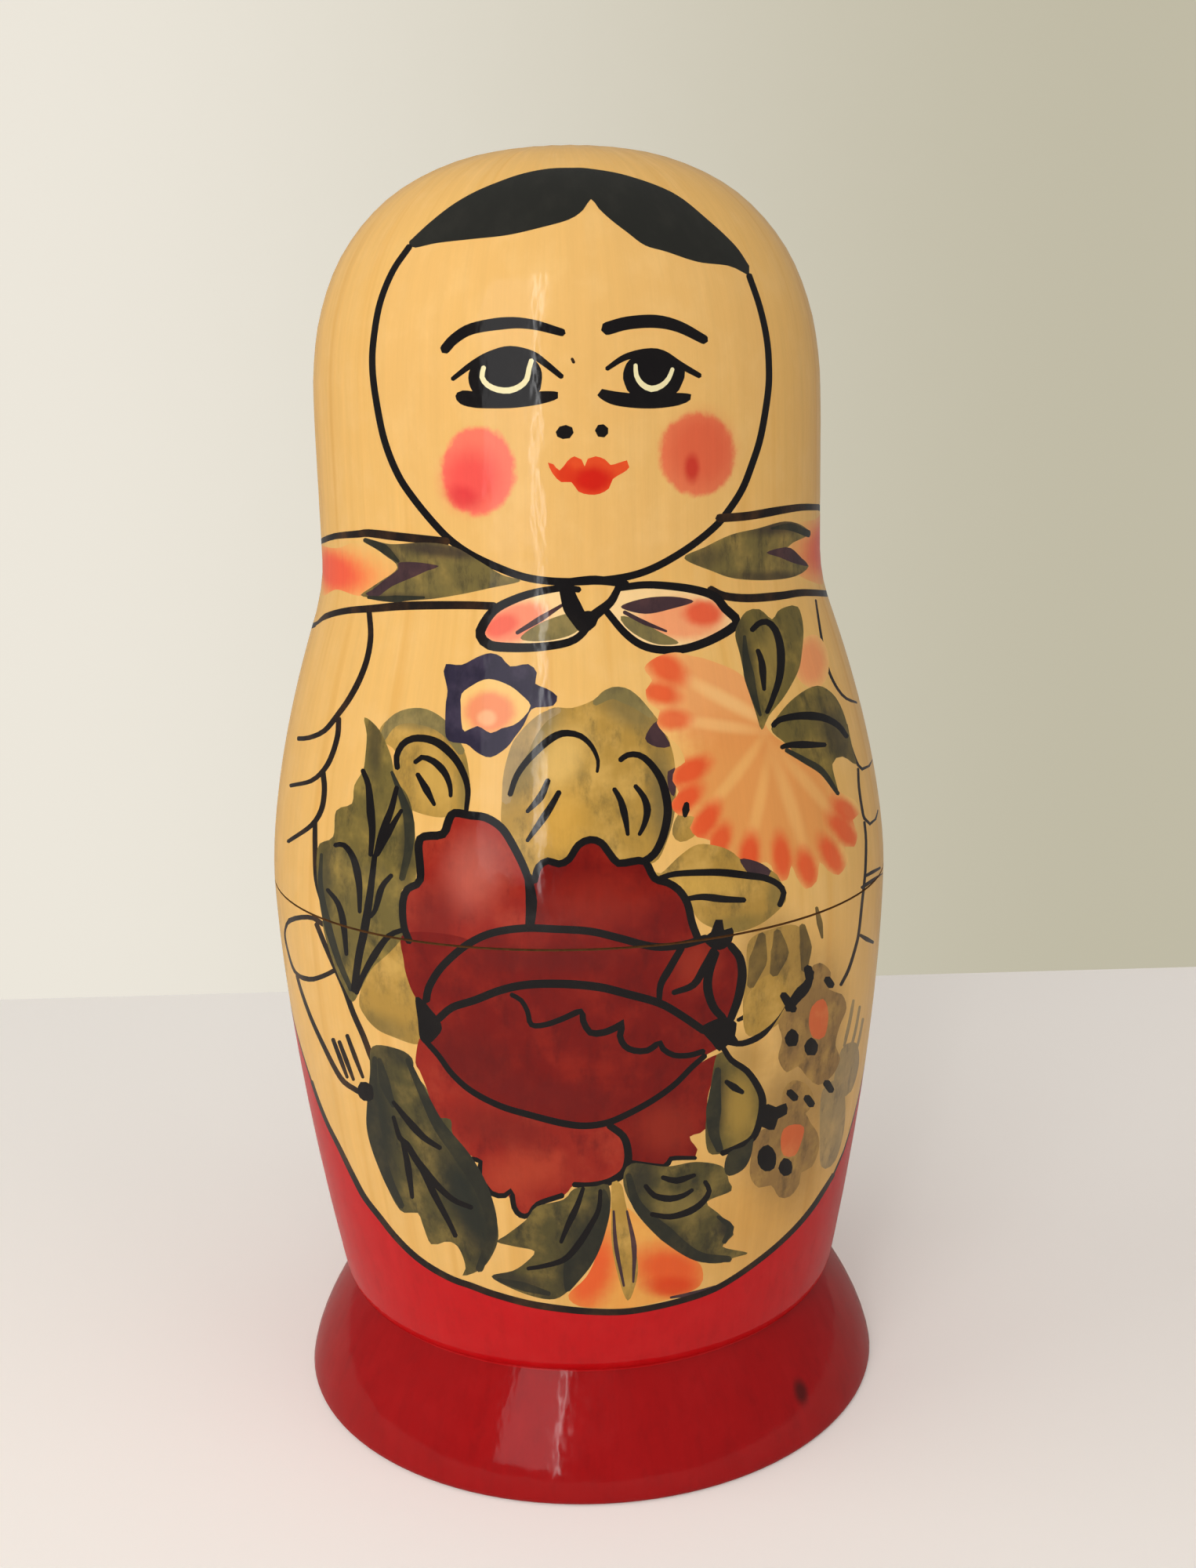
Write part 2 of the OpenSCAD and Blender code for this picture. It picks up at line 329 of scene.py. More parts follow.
# Kerchief border: lines, leaves and buds
KERCHIEF_BORDER = [
    ("ink_thin", (7, 11, 11), "408,691 427,684 459,681 470,680 504,684 541,688 569,691"),
    ("ink_thin", (7, 11, 10), "402,797 416,786 442,779 478,776 512,773 555,772 597,772 630,773"),
    ("ink_thin", (11, 11, 8), "918,661 955,658 995,651 1023,647 1045,647"),
    ("ink_thin", (10, 11, 8), "907,752 924,760 955,763 995,760 1023,756 1057,757"),
    ("bud_left", None, """450,692 475,700 508,724 484,742 462,760 430,752 -74:120.4 -86:121 -94:124 -86:126.8
     -74:127.2 430,699 450,692"""),
    ("leaf_band", None, LEAF_LEFT),
    ("plum", None, LEAF_LEFT_NOTCH),
    ("leaf_dark", (6, 12, 4), "466,689 490,700 508,716"),
    ("leaf_dark", (4, 9, 3), "470,762 498,764 541,762"),
    ("bud_right", None, """1004,690 1018,668 70:129.4 82:129.6 92:128.6 98:125 92:121.4 82:120.2 72:120.4 1018,733
     1006,706 1004,690"""),
    ("leaf_band", None, LEAF_RIGHT),
    ("plum", None, LEAF_RIGHT_NOTCH),
    ("leaf_dark", (3, 10, 9), "985,674 1008,672 1032,681"),
]
# Knot and the two ends of the bow
BOW = [
    ("bow_left", None, BOW_LEFT),
    ("moss", None, "735,781 742,798 726,811 691,818 664,814 691,794"),
    ("plum", (4, 8, 5), "717,772 690,789 660,807"),
    ("ink", (8, 13, 9), "738,752 " + along(BOW_LEFT, "717,750", "744,807") + " 755,789"),
    ("bow_right", None, BOW_RIGHT),
    ("moss", None, "792,786 812,790 842,806 866,820 840,822 815,812 797,798"),
    ("plum", None, "792,774 823,763 859,761 885,767 859,776 823,783"),
    ("plum", (5, 6, 3), "797,781 822,794 850,805"),
    ("ink", (9, 12, 9), """775,781 797,807 819,823 845,829 876,827 912,814 940,794 925,776 912,761 890,753 859,748
     823,746 788,750"""),
    ("ink", (9, 12, 9), "717,743 760,740 799,745"),
    ("ink", (18, 24, 20), "722,750 730,774 744,797"),
    ("ink", (9, 12, 15), "788,752 779,768 762,782 750,792"),
    ("ink", None, "736,784 750,779 763,783 760,798 746,807 735,801"),
]
# Sleeves and hands
SLEEVES_AND_HANDS = [
    ("ink_thin", (7, 8, 6), "471,780 473,810 469,838 460,864 447,889 433,909 414,932 394,941 381,942"),
    ("ink_thin", (7, 7, 5), "432,917 431,937 424,962 414,981 397,996 371,1002"),
    ("ink_thin", (7, 7, 5), "412,985 414,1007 410,1033 397,1053 368,1073"),
    ("ink_thin", (6, 7, 7), "402,1047 402,1078 404,1121 412,1152 417,1177"),
    ("ink_thin", (6, 7, 6), """412,1179 400,1171 385,1170 370,1174 364,1185 365,1203 376,1239 394,1249 412,1245
     430,1236"""),
    ("ink_thin", (6, 7, 8), "404,1179 415,1206 427,1233 439,1260 451,1293 463,1320 472,1344 479,1363 476,1389"),
    ("ink_thin", (6, 6, 7), "379,1245 385,1266 397,1299 412,1332 427,1362 439,1380 457,1392"),
    ("ink_thin", (5, 6, 4), "425,1326 434,1350 443,1374"),
    ("ink_thin", (5, 6, 4), "433,1329 442,1353 451,1377"),
    ("ink_thin", (5, 6, 4), "443,1321 453,1348 463,1374"),
    ("ink_thin", (4, 5, 4), "1041,766 1046,800 1051,829 1058,857 1069,879 1080,891 1093,896"),
    ("ink_thin", (4, 5, 4), "1080,925 1086,953 1095,976 1100,981 1109,977 1113,969"),
    ("ink_thin", (4, 5, 4), "1095,981 1096,1004 1100,1032 1103,1044 1110,1051 1117,1045 1120,1034"),
    ("ink_thin", (4, 5, 4), "1103,1049 1105,1072 1104,1112 1100,1151 1096,1188 1092,1207 1083,1236 1073,1256"),
    ("ink_thin", (4, 5, 4), "1105,1117 1114,1112 1123,1107"),
    ("ink_thin", (4, 5, 4), "1100,1132 1113,1123 1126,1114"),
    ("ink_thin", (4, 6, 4), "1098,1193 1106,1198 1114,1202"),
]
# Washes behind the bouquet
WASHES = [
    ("grey", (3, 6, 3), "1089,1276 1084,1304 1077,1334"),
    ("grey", (3, 6, 3), "1097,1284 1092,1312 1085,1340"),
    ("grey", (4, 7, 3), "1101,1300 1096,1326 1090,1348"),
    ("grey", None, "1074,1338 1092,1330 1096,1356 1086,1392 1072,1398 1064,1380"),
    ("grey", None, "1050,1390 1074,1380 1078,1430 1066,1480 1048,1488 1046,1440"),
    ("olive", None, """482,940 490,922 510,911 535,912 560,922 585,945 597,975 598,1030 570,1042 545,1040 520,1030
     505,1010 500,985 505,960 495,950"""),
    ("moss", (8, 22, 10), "486,945 500,922 522,913 548,917 570,932 588,958"),
    ("olive", None, """700,905 730,903 757,893 772,880 792,880 815,894 838,916 855,948 862,985 861,1035 850,1075
     835,1100 800,1102 770,1080 753,1073 738,1080 722,1098 699,1100 684,1116 672,1112 655,1079 640,1052 642,1010
     652,975 672,940"""),
    ("grey", (8, 24, 12), "712,906 690,918 668,946 652,985 646,1020"),
    ("moss", (8, 20, 8), "760,896 782,884 806,892 830,912"),
    ("plum", None, "823,942 838,920 850,940 855,952 838,953"),
    ("plum", None, "852,984 861,979 863,1000 860,1016 853,1006"),
    ("olive", None, "858,1064 862,1044 876,1030 892,1036 894,1054 884,1068 868,1074"),
    ("carnation", None, """838,838 862,832 880,836 905,842 945,860 965,890 980,930 1010,955 1046,985 1075,1012
     1090,1020 1098,1036 1088,1046 1094,1062 1090,1080 1078,1080 1082,1098 1070,1116 1056,1110 1046,1100 1042,1124
     1028,1134 1016,1118 1010,1104 1004,1122 990,1122 984,1104 972,1100 966,1120 950,1118 944,1100 930,1092
     918,1098 904,1090 906,1072 890,1068 880,1056 886,1042 866,1040 856,1026 866,1010 858,996 862,980 874,972
     866,952 850,938 838,922 842,906 828,898 824,880 832,868 822,852"""),
    ("ink", (7, 10, 6), "876,1026 874,1040"),
]
# Leaves over the carnation
CARNATION_LEAVES = [
    ("blush_soft", None, "1012,845 1024,816 1042,810 1056,830 1056,862 1042,878 1022,870"),
    ("leaf", None, """938,811 941,797 952,780 969,777 985,790 992,780 1003,774 1018,774 1025,800 1023,834 1018,857
     1001,888 981,913 972,931 964,908 952,871 944,834"""),
    ("leaf_dark", (4, 14, 4), "950,812 952,840 960,880 970,912"),
    ("ink", (7, 11, 6), "960,803 967,796 978,793 989,803 996,828 995,862 986,891 979,908"),
    ("ink", (6, 10, 5), "967,830 972,845 975,879"),
    ("leaf", None, """984,930 998,906 1016,888 1036,876 1050,876 1066,889 1078,914 1088,955 1092,975 1075,965
     1062,975 1070,1015 1046,985 1020,966 1002,948"""),
    ("ink", (7, 11, 6), "987,925 995,918 1021,913 1049,915 1069,925 1080,939"),
    ("ink", (6, 10, 6), "998,953 1010,950 1052,950"),
    ("leaf_dark", (6, 9, 5), "1004,957 1027,970 1049,984 1069,1012"),
]
# Indigo ring flower
RING_FLOWER = [
    ("indigo", None, """566,856 569,847 589,848 609,838 626,833 640,838 651,850 674,847 685,858 683,872 697,878
     711,888 706,900 690,902 678,905 668,925 657,940 646,954 626,966 609,960 595,949 578,947 569,940 568,918
     569,895 571,881"""),
    ("flower_heart", None, """631,867 617,867 603,874 589,885 588,901 589,923 593,933 609,926 626,935 640,929
     655,925 668,915 677,900 665,886 651,875"""),
]
# Buds
BUDS = [
    ("ink", (7, 11, 6), "507,979 506,965 513,950 527,942 547,943 564,951 581,968 592,988 597,1008 595,1033"),
    ("ink", (6, 10, 5), "530,972 538,966 553,971 567,985 574,1002 575,1015"),
    ("ink", (6, 10, 5), "533,988 544,1007 554,1026"),
    ("ink", (7, 10, 4), "651,1013 659,990 673,970 693,950 710,938 724,935 741,939 755,952 763,970 762,984"),
    ("ink", (7, 10, 5), "699,996 690,1016 673,1035"),
    ("ink", (7, 10, 5), "713,1011 699,1035 673,1072"),
    ("ink", (7, 11, 10), "792,969 801,963 815,963 829,973 843,993 850,1016 852,1038 846,1067 835,1089 823,1098"),
    ("ink", (6, 10, 5), "811,1003 821,1016 826,1033 822,1052 816,1064"),
    ("ink", (6, 10, 5), "784,1007 792,1021 798,1044 801,1064"),
]
# Serrated leaf on the left
SERRATED_LEAF = [
    ("olive", None, """532,1180 530,1220 532,1250 538,1275 546,1290 546,1312 534,1332 500,1322 480,1312 465,1295
     458,1275 470,1235 490,1205"""),
    ("leaf", None, SERRATED),
    ("leaf_dark", (4, 14, 8), "500,985 514,1020 522,1050 521,1085 513,1120"),
    ("leaf_dark", (4, 10, 6), "410,1090 409,1130 417,1175 432,1225 448,1262"),
    ("ink", (6, 11, 6), "463,983 470,1002 473,1036 475,1061 473,1090"),
    ("ink", (6, 10, 7), "506,1005 499,1033 487,1064 480,1090"),
    ("ink", (5, 9, 5), "512,1034 499,1056 482,1090"),
    ("ink", (6, 10, 5), "428,1078 439,1078 451,1095 458,1126 459,1163"),
    ("ink", (5, 9, 5), "418,1135 431,1152 438,1177 442,1217"),
    ("ink", (7, 11, 9), "478,1092 472,1141 465,1186 458,1219 452,1262"),
    ("ink", (6, 9, 5), "499,1117 487,1132 479,1160 473,1169"),
    ("ink", (6, 10, 6), "517,1185 496,1194 478,1218 463,1245 455,1266"),
]
# Right-hand leaves by the seam
SEAM_LEAVES = [
    ("olive", None, """831,1111 843,1114 868,1091 891,1077 919,1080 936,1088 947,1097 984,1110 995,1122 1003,1142
     998,1156 970,1179 936,1190 913,1185 891,1173 876,1149"""),
    ("plum", None, "944,1096 966,1099 984,1111 974,1121 958,1117"),
    ("ink", (7, 10, 7), "843,1120 860,1115 891,1113 922,1113 956,1117 976,1120 993,1128 1000,1139 995,1154"),
    ("ink", (6, 10, 7), "874,1147 896,1144 925,1147 949,1148"),
    ("olive_dark", None, """956,1200 985,1185 1015,1180 1032,1200 1030,1245 1012,1285 985,1312 960,1318 948,1290
     952,1240"""),
    ("ink", (5, 7, 5), "970,1280 953,1295 942,1301"),
    ("ink", (5, 7, 5), "990,1264 981,1281 959,1307"),
    ("ink", (5, 9, 7), "1003,1264 1001,1278 987,1301 970,1321 947,1331 927,1329"),
]
# Berry flowers
BERRIES = [
    ("olive", None, "948,1300 954,1270 974,1246 1000,1243 1007,1260 1001,1284 982,1308 956,1322"),
    ("umber", (10, 24, 10), "972,1194 968,1222 958,1256"),
    ("umber", (10, 24, 12), "992,1190 995,1214 988,1240"),
    ("umber", (8, 16, 8), "1024,1182 1028,1208 1026,1236"),
    ("umber", (4, 8, 3), "1042,1158 1046,1178 1049,1196"),
    ("berry", None, """1002,1288 1014,1270 1028,1262 1032,1238 1046,1228 1060,1240 1058,1262 1074,1268 1080,1286
     1071,1310 1066,1334 1072,1350 1062,1372 1044,1384 1030,1374 1018,1360 1004,1368 993,1350 998,1325 993,1305"""),
    ("berry", None, "1000,1390 1012,1378 1030,1384 1038,1402 1028,1420 1010,1420 998,1408"),
    ("berry", None, """962,1450 975,1440 990,1436 996,1420 1006,1408 1026,1418 1034,1432 1043,1445 1045,1465
     1036,1488 1022,1496 1020,1510 1008,1526 994,1527 984,1512 968,1515 957,1500 958,1478"""),
    ("berry_heart", None, "1036,1284 1050,1274 1057,1292 1052,1322 1038,1324 1032,1306"),
    ("berry_heart", None, "1000,1440 1014,1434 1026,1438 1022,1458 1014,1474 1000,1474 996,1458"),
    ("ink", (6, 15, 10), "1036,1240 1030,1256 1018,1270 1006,1286"),
    ("ink", None, "1010,1312 1019,1320 1016,1334 1006,1335 1001,1324"),
    ("ink", None, "1035,1323 1044,1333 1040,1346 1030,1346 1026,1334"),
    ("ink", (10, 12, 10), "1000,1270 1006,1279 1012,1287"),
    ("ink", (11, 15, 11), "1031,1236 1033,1247"),
    ("ink", (10, 11, 10), "1056,1250 1060,1256"),
    ("ink", (10, 12, 10), "1008,1394 1014,1400"),
    ("ink", (10, 12, 10), "1030,1401 1035,1408"),
    ("ink", None, "970,1416 980,1408 990,1412 1003,1407 1004,1421 993,1427 988,1441 976,1439 966,1432"),
    ("ink", (10, 11, 9), "976,1432 982,1437"),
    ("ink", None, "968,1468 980,1460 990,1472 988,1490 976,1494 967,1484"),
    ("ink", None, "1000,1477 1010,1482 1010,1496 1000,1500 993,1490"),
    ("ink", (10, 11, 9), "1055,1382 1060,1390"),
]
# Peony
PEONY = [
    ("peony_light", None, PETAL_LEFT),
    ("peony", None, PETAL_RIGHT),
    ("peony", None, "518,1190 515,1225 521,1252 530,1272 545,1288 600,1245 600,1200"),
    ("peony", None, HEART),
    ("peony_light", None, PETAL_LOW_LEFT),
    ("peony", None, PETAL_LOW_RIGHT),
    ("ink", (9, 11, 10), """522,1200 515,1180 514,1150 520,1134 536,1122 534,1078 541,1067 565,1064 573,1045
     580,1037 600,1040 620,1043 640,1056 655,1079 668,1105 674,1121"""),
    ("ink", (10, 15, 12), "674,1118 678,1150 676,1182"),
    ("ink", (9, 10, 10), along(PETAL_RIGHT, "682,1123", "883,1177") + " 890,1196"),
    ("ink", (10, 10, 10), "544,1275 " + along(HEART, "547,1260", "900,1197")),
    ("ink", (10, 11, 10), """560,1299 577,1285 605,1276 639,1263 673,1256 719,1255 764,1259 801,1268 840,1279
     866,1293 897,1314"""),
    ("ink", (6, 9, 7), """653,1269 665,1276 673,1290 678,1307 696,1307 719,1299 741,1290 744,1302 753,1317 770,1317
     787,1310 795,1304 791,1321 797,1334 809,1340 826,1340 842,1330 846,1338 860,1346 880,1346 897,1341"""),
    ("ink", (7, 9, 7), backwards(along(HEART, "899,1347", "545,1330"))),
    ("ink", None, "530,1272 540,1276 550,1288 560,1300 564,1312 558,1322 546,1332 536,1325 533,1300"),
    ("ink", (9, 11, 7), "778,1436 795,1449 801,1466 801,1483 795,1497 776,1508 753,1512 733,1511"),
    ("ink", (6, 7, 7), """601,1478 613,1482 612,1499 627,1522 644,1525 652,1519 656,1540 664,1550 675,1550 686,1536
     717,1525"""),
    ("ink", (5, 7, 5), "804,1482 848,1488 856,1478 887,1477"),
    ("ink", (9, 10, 7), "869,1210 854,1236 843,1256 841,1278"),
    ("ink", (9, 10, 7), "910,1213 899,1233 885,1256 860,1266"),
    ("ink", (10, 12, 10), "913,1216 905,1239 903,1261 910,1284 922,1298"),
    ("ink", (10, 12, 10), "933,1207 944,1222 947,1244 942,1273 933,1298"),
    ("ink", None, "897,1197 907,1189 913,1173 922,1173 924,1186 934,1183 936,1194 930,1206 918,1212 906,1208"),
    ("ink", None, "894,1312 911,1301 926,1297 940,1305 938,1321 945,1333 930,1332 918,1341 908,1330"),
]
# Leaves below the peony
LOW_LEAVES = [
    ("leaf_low", None, LEAF_LOW_LEFT),
    ("leaf_dark", (6, 18, 8), "478,1350 476,1400 478,1445 494,1500 512,1538"),
    ("leaf_dark", (6, 20, 10), "520,1352 540,1396 560,1436 590,1476 616,1520 628,1570 612,1618"),
    ("leaf_dark", (6, 14, 6), "484,1352 492,1385 502,1410"),
    ("ink", (5, 10, 6), "502,1406 522,1431 541,1451 561,1464"),
    ("ink", (5, 10, 6), "502,1425 510,1451 519,1459 533,1482 556,1510 578,1530 601,1540"),
    ("ink", (5, 9, 5), "513,1454 519,1479 523,1505 526,1527"),
    ("ink", (5, 9, 6), "522,1462 539,1493 556,1527 573,1559 581,1576"),
    ("ink", None, "460,1380 474,1384 476,1402 464,1404 456,1394"),
    ("bloom", None, """776,1545 761,1601 747,1630 725,1652 739,1666 776,1669 800,1669 858,1656 893,1640 896,1618
     884,1605 856,1588 824,1562 799,1540"""),
    ("leaf_low", None, LEAF_LOW_MIDDLE),
    ("leaf_dark", None, "770,1516 779,1538 770,1580 757,1610 740,1632 722,1648 720,1610 737,1590 755,1565 765,1540"),
    ("leaf_dark", (4, 12, 6), "636,1632 664,1640 700,1650"),
    ("ink", (5, 9, 5), "744,1516 736,1539 725,1562 716,1584"),
    ("ink", (5, 9, 5), "766,1519 764,1542 753,1564 736,1590 719,1607 693,1615 674,1618"),
    ("leaf_low", None, LEAF_LOW_RIGHT),
    ("leaf_dark", (8, 20, 8), "802,1500 814,1538 850,1574 890,1602 930,1606"),
    ("leaf_dark", (4, 10, 6), "916,1552 932,1566 924,1584"),
    ("ink", (6, 9, 5), "846,1502 863,1506 886,1499"),
    ("ink", (6, 9, 5), "824,1513 835,1525 855,1529 872,1525 883,1518"),
    ("ink", (6, 9, 6), "900,1508 905,1519 897,1533 880,1545 855,1552 832,1549"),
    ("olive", None, BUD_LEAF),
    ("plum", (3, 6, 3), "783,1545 786,1590 796,1640"),
    ("plum", (3, 7, 3), "800,1545 809,1590 808,1635"),
    ("plum", (3, 6, 3), "856,1655 884,1650 912,1641"),
]
# Round leaf on the right
ROUND_LEAF = [
    ("leaf", None, ROUND),
    ("leaf_dark", (8, 20, 10), "916,1365 912,1400 910,1440 918,1466"),
    ("ink", (7, 10, 7), "922,1335 933,1352 " + along(ROUND, "953,1366", "922,1471")),
    ("ink", (6, 10, 6), "927,1380 937,1387 947,1393"),
    ("leaf_dark", None, "961,1451 950,1462 930,1470 924,1490 930,1500 948,1492 958,1475"),
]
# Edge of the apron
APRON_EDGE = [
    ("ink_thin", (6, 9, 6), APRON),
]
# All of it, in the order in which it is laid on
PAINTING = (GROUND + FEATURES + KERCHIEF_BORDER + BOW + SLEEVES_AND_HANDS + WASHES + CARNATION_LEAVES + RING_FLOWER +
            BUDS + SERRATED_LEAF + SEAM_LEAVES + BERRIES + PEONY + LOW_LEAVES + ROUND_LEAF + APRON_EDGE)

# Lines on the side that the photograph doesn't show, their width and the step of their curves, in millimetres
BACK_LINES = [
    HEM_LEFT + " -65:51.8", "59.3:36.5 " + HEM_RIGHT,
    "-180:128 -165:128 -150:128 -120:127.9 -100:127.6 -90:127.4 -80:127.6",
    "-180:116 -165:116 -150:116 -120:115.8 -100:115.5 -88:115.4 -80:115.8 -75:116.4",
    "75:130.8 84:130.3 95:129.6 115:128.7 135:128.1 150:128 165:128 180:128",
    "81:118.5 95:117.6 115:116.8 135:116.2 150:116 165:116 180:116",
]
BACK_LINE_MM, BACK_LINE_STEP = 0.85, 3.0
# Fills on that side, by the angle in degrees through which they are turned round the axis
BACK_MOTIFS = {
    -62: [("bud_back", "-80:124.6 -72:127.6 -60:128.2 -47:125 -60:121.4 -72:121.6 -80:124.6"),
          ("leaf_band", LEAF_LEFT), ("plum", LEAF_LEFT_NOTCH)],
    62: [("bud_back", "53:125.6 64:128.6 76:128.4 84:125 76:121.6 64:121.8 53:125.6"),
         ("leaf_band", LEAF_RIGHT), ("plum", LEAF_RIGHT_NOTCH)],
}
# Step of a curve on the plane, in millimetres, for each pixel of the step in the photograph
PLANE_STEP = 0.11
# Size of a pixel on the front of the doll, and how much wider a stroke may be that the photograph sees at a slant
MM_PER_PIXEL, WIDEST_STRETCH = 0.1, 2.2


def numbers(word):
    return tuple(map(float, word.replace(":", ",").split(",")))


def place_of(word):
    """The place on the plane of a point that is given by its angle and height."""
    angle, height = numbers(word)
    return math.radians(angle) * BELLY_R, float(v_of_height(height))


def fill_on_plane(text, step):
    """The outline of a fill on the painting's plane."""
    parts = []
    for piece in text.split("|"):
        words = piece.split()
        if ":" not in piece:
            parts.append(to_plane(curve([numbers(word) for word in words], "|" not in text, step)))
        else:
            points = [place_of(word) if ":" in word else to_plane(numbers(word))[0] for word in words]
            parts.append(curve(points, False, step * PLANE_STEP) if len(points) > 1 else np.array(points))
    return np.vstack(parts)


def stroke_on_plane(text, width, step):
    """The outline of a brush stroke on the plane, where one that is seen at a slant isn't stretched without limit."""
    line = curve([numbers(word) for word in text.split()], False, step)
    edge, middle = to_plane(ribbon(line, width)), to_plane(line)
    order, tip = list(range(len(line))), len(TIP_ANGLES)
    beside = middle[order + order[-1:] * tip + order[::-1] + order[:1] * tip]
    reach = np.hypot(*(edge - beside).T)
    limit = max(width) / 2 * MM_PER_PIXEL * WIDEST_STRETCH
    return beside + (edge - beside) * np.minimum(1, limit / np.maximum(reach, TINY))[:, None]


def painted_layers(step):
    """Every paint with its outline, from the lowest to the top one."""
    layers = []
    for paint, width, text in PAINTING:
        layers.append((paint, stroke_on_plane(text, width, step) if width else fill_on_plane(text, step)))
    motifs, lines = [], []
    for angle, rows in BACK_MOTIFS.items():
        shift = np.array([math.radians(angle) * BELLY_R, 0])
        motifs += [(paint, fill_on_plane(text, step) + shift) for paint, text in rows]
    for text in BACK_LINES:
        line = curve([place_of(word) for word in text.split()], False, BACK_LINE_STEP)
        lines.append(("ink_thin", ribbon(line, (BACK_LINE_MM,) * 3)))
    layers = layers[:1] + motifs + layers[1:] + lines
    for _, outline in layers:
        outline[:, 0] = np.clip(outline[:, 0], -HALF_TURN, HALF_TURN)
        outline[:, 1] = np.clip(outline[:, 1], 0, V_TOP)
    return layers


def within(points, outline):
    """True for the points that the outline winds round."""
    turns = np.zeros(len(points), int)
    for a, b in zip(outline, np.roll(outline, -1, axis=0)):
        side = (b[0] - a[0]) * (points[:, 1] - a[1]) - (points[:, 0] - a[0]) * (b[1] - a[1])
        up = (a[1] <= points[:, 1]) & (b[1] > points[:, 1]) & (side > 0)
        down = (a[1] > points[:, 1]) & (b[1] <= points[:, 1]) & (side < 0)
        turns += up.astype(int) - down.astype(int)
    return turns != 0


# Loose points of the plane: room they leave, as shares of the grid, to the turned rings, to painted edges and to the
# back, the fewest in a row, and the radius below which rows get no sparser
RING_ROOM, EDGE_ROOM, BACK_ROOM = 0.3, 0.45, 0.4
LEAST_IN_ROW, LEAST_R = 12, 8
# Points closer than this, in millimetres, are joined, and triangles smaller than this are dropped
JOIN_BELOW, DROP_BELOW = 1e-4, 1e-9


def paint_plane(step, grid):
    """Cuts the plane along every painted edge: corner points, triangles and the paint on each triangle."""
    layers = painted_layers(step)
    points, edges = [], []

    def add_loop(loop, closed=True):
        start = len(points)
        points.extend(map(tuple, loop))
        count = len(loop)
        edges.extend((start + i, start + (i + 1) % count) for i in range(count if closed else count - 1))

    across = np.linspace(-HALF_TURN, HALF_TURN, int(2 * HALF_TURN / grid) + 1)
    rows = np.concatenate([np.linspace(low, high, int((high - low) / grid) + 1)
                           for low, high in ((0, V_LOW), (V_HIGH, V_TOP))])
    turned = whole_skin.arc[(whole_skin.z > 0) & (whole_skin.z < GROOVE_TOP)]
    rows = np.unique(np.concatenate([rows[(rows == 0) | (rows > turned[-1] + grid * RING_ROOM)], turned]))
    for v in (0, *turned, V_LOW, V_HIGH, V_TOP):
        add_loop(np.stack([across, np.full(len(across), v)], 1), closed=False)
    for u in (-HALF_TURN, HALF_TURN):
        add_loop(np.stack([np.full(len(rows), u), rows], 1), closed=False)
    for _, outline in layers:
        add_loop(outline)
    cell = grid * EDGE_ROOM
    taken = set()
    for a, b in edges:
        p, q = np.array(points[a]), np.array(points[b])
        for t in np.linspace(0, 1, int(np.hypot(*(q - p)) / (cell * 0.5)) + 2):
            taken.add(tuple(np.floor((p + (q - p) * t) / cell).astype(int)))
    for i, v in enumerate(rows[1:-1]):
        r = np.interp(v, whole_skin.arc, whole_skin.r)
        count = max(LEAST_IN_ROW, int(2 * HALF_TURN / (grid * BELLY_R / max(r, LEAST_R))))
        for u in np.linspace(-HALF_TURN, HALF_TURN, count + 1)[1:-1] + (HALF_TURN / count if i % 2 else 0):
            free = tuple(np.floor(np.array([u, v]) / cell).astype(int)) not in taken
            if abs(u) < HALF_TURN - grid * BACK_ROOM and free:
                points.append((u, v))
    found = delaunay_2d_cdt([Vector(p) for p in points], edges, [], 0, JOIN_BELOW)
    corners = np.array([tuple(v) for v in found[0]])
    triangles = np.array([f for f in found[2] if len(f) == 3], int)
    a, b, c = (corners[triangles[:, i]] for i in range(3))
    area = (b[:, 0] - a[:, 0]) * (c[:, 1] - a[:, 1]) - (c[:, 0] - a[:, 0]) * (b[:, 1] - a[:, 1])
    triangles[area < 0] = triangles[area < 0][:, ::-1]
    triangles = triangles[np.abs(area) > DROP_BELOW]
    middle = corners[triangles].mean(1)
    paint = np.full(len(triangles), "wood", dtype=object)
    for name, outline in layers:
        low, high = outline.min(0), outline.max(0)
        near = np.nonzero(((middle >= low) & (middle <= high)).all(1))[0]
        if len(near):
            paint[near[within(middle[near], outline)]] = name
    return corners, triangles, paint


# Materials

# Depth in metres that a bump of full strength stands for
BUMP_DEPTH = 0.001


def linear(rgb):
    """A colour as read off the photograph, 0 to 255, as linear light."""
    c = np.array(rgb, float) / 255
    return (*np.where(c <= 0.04045, c / 12.92, ((c + 0.055) / 1.055) ** 2.4), 1.0)


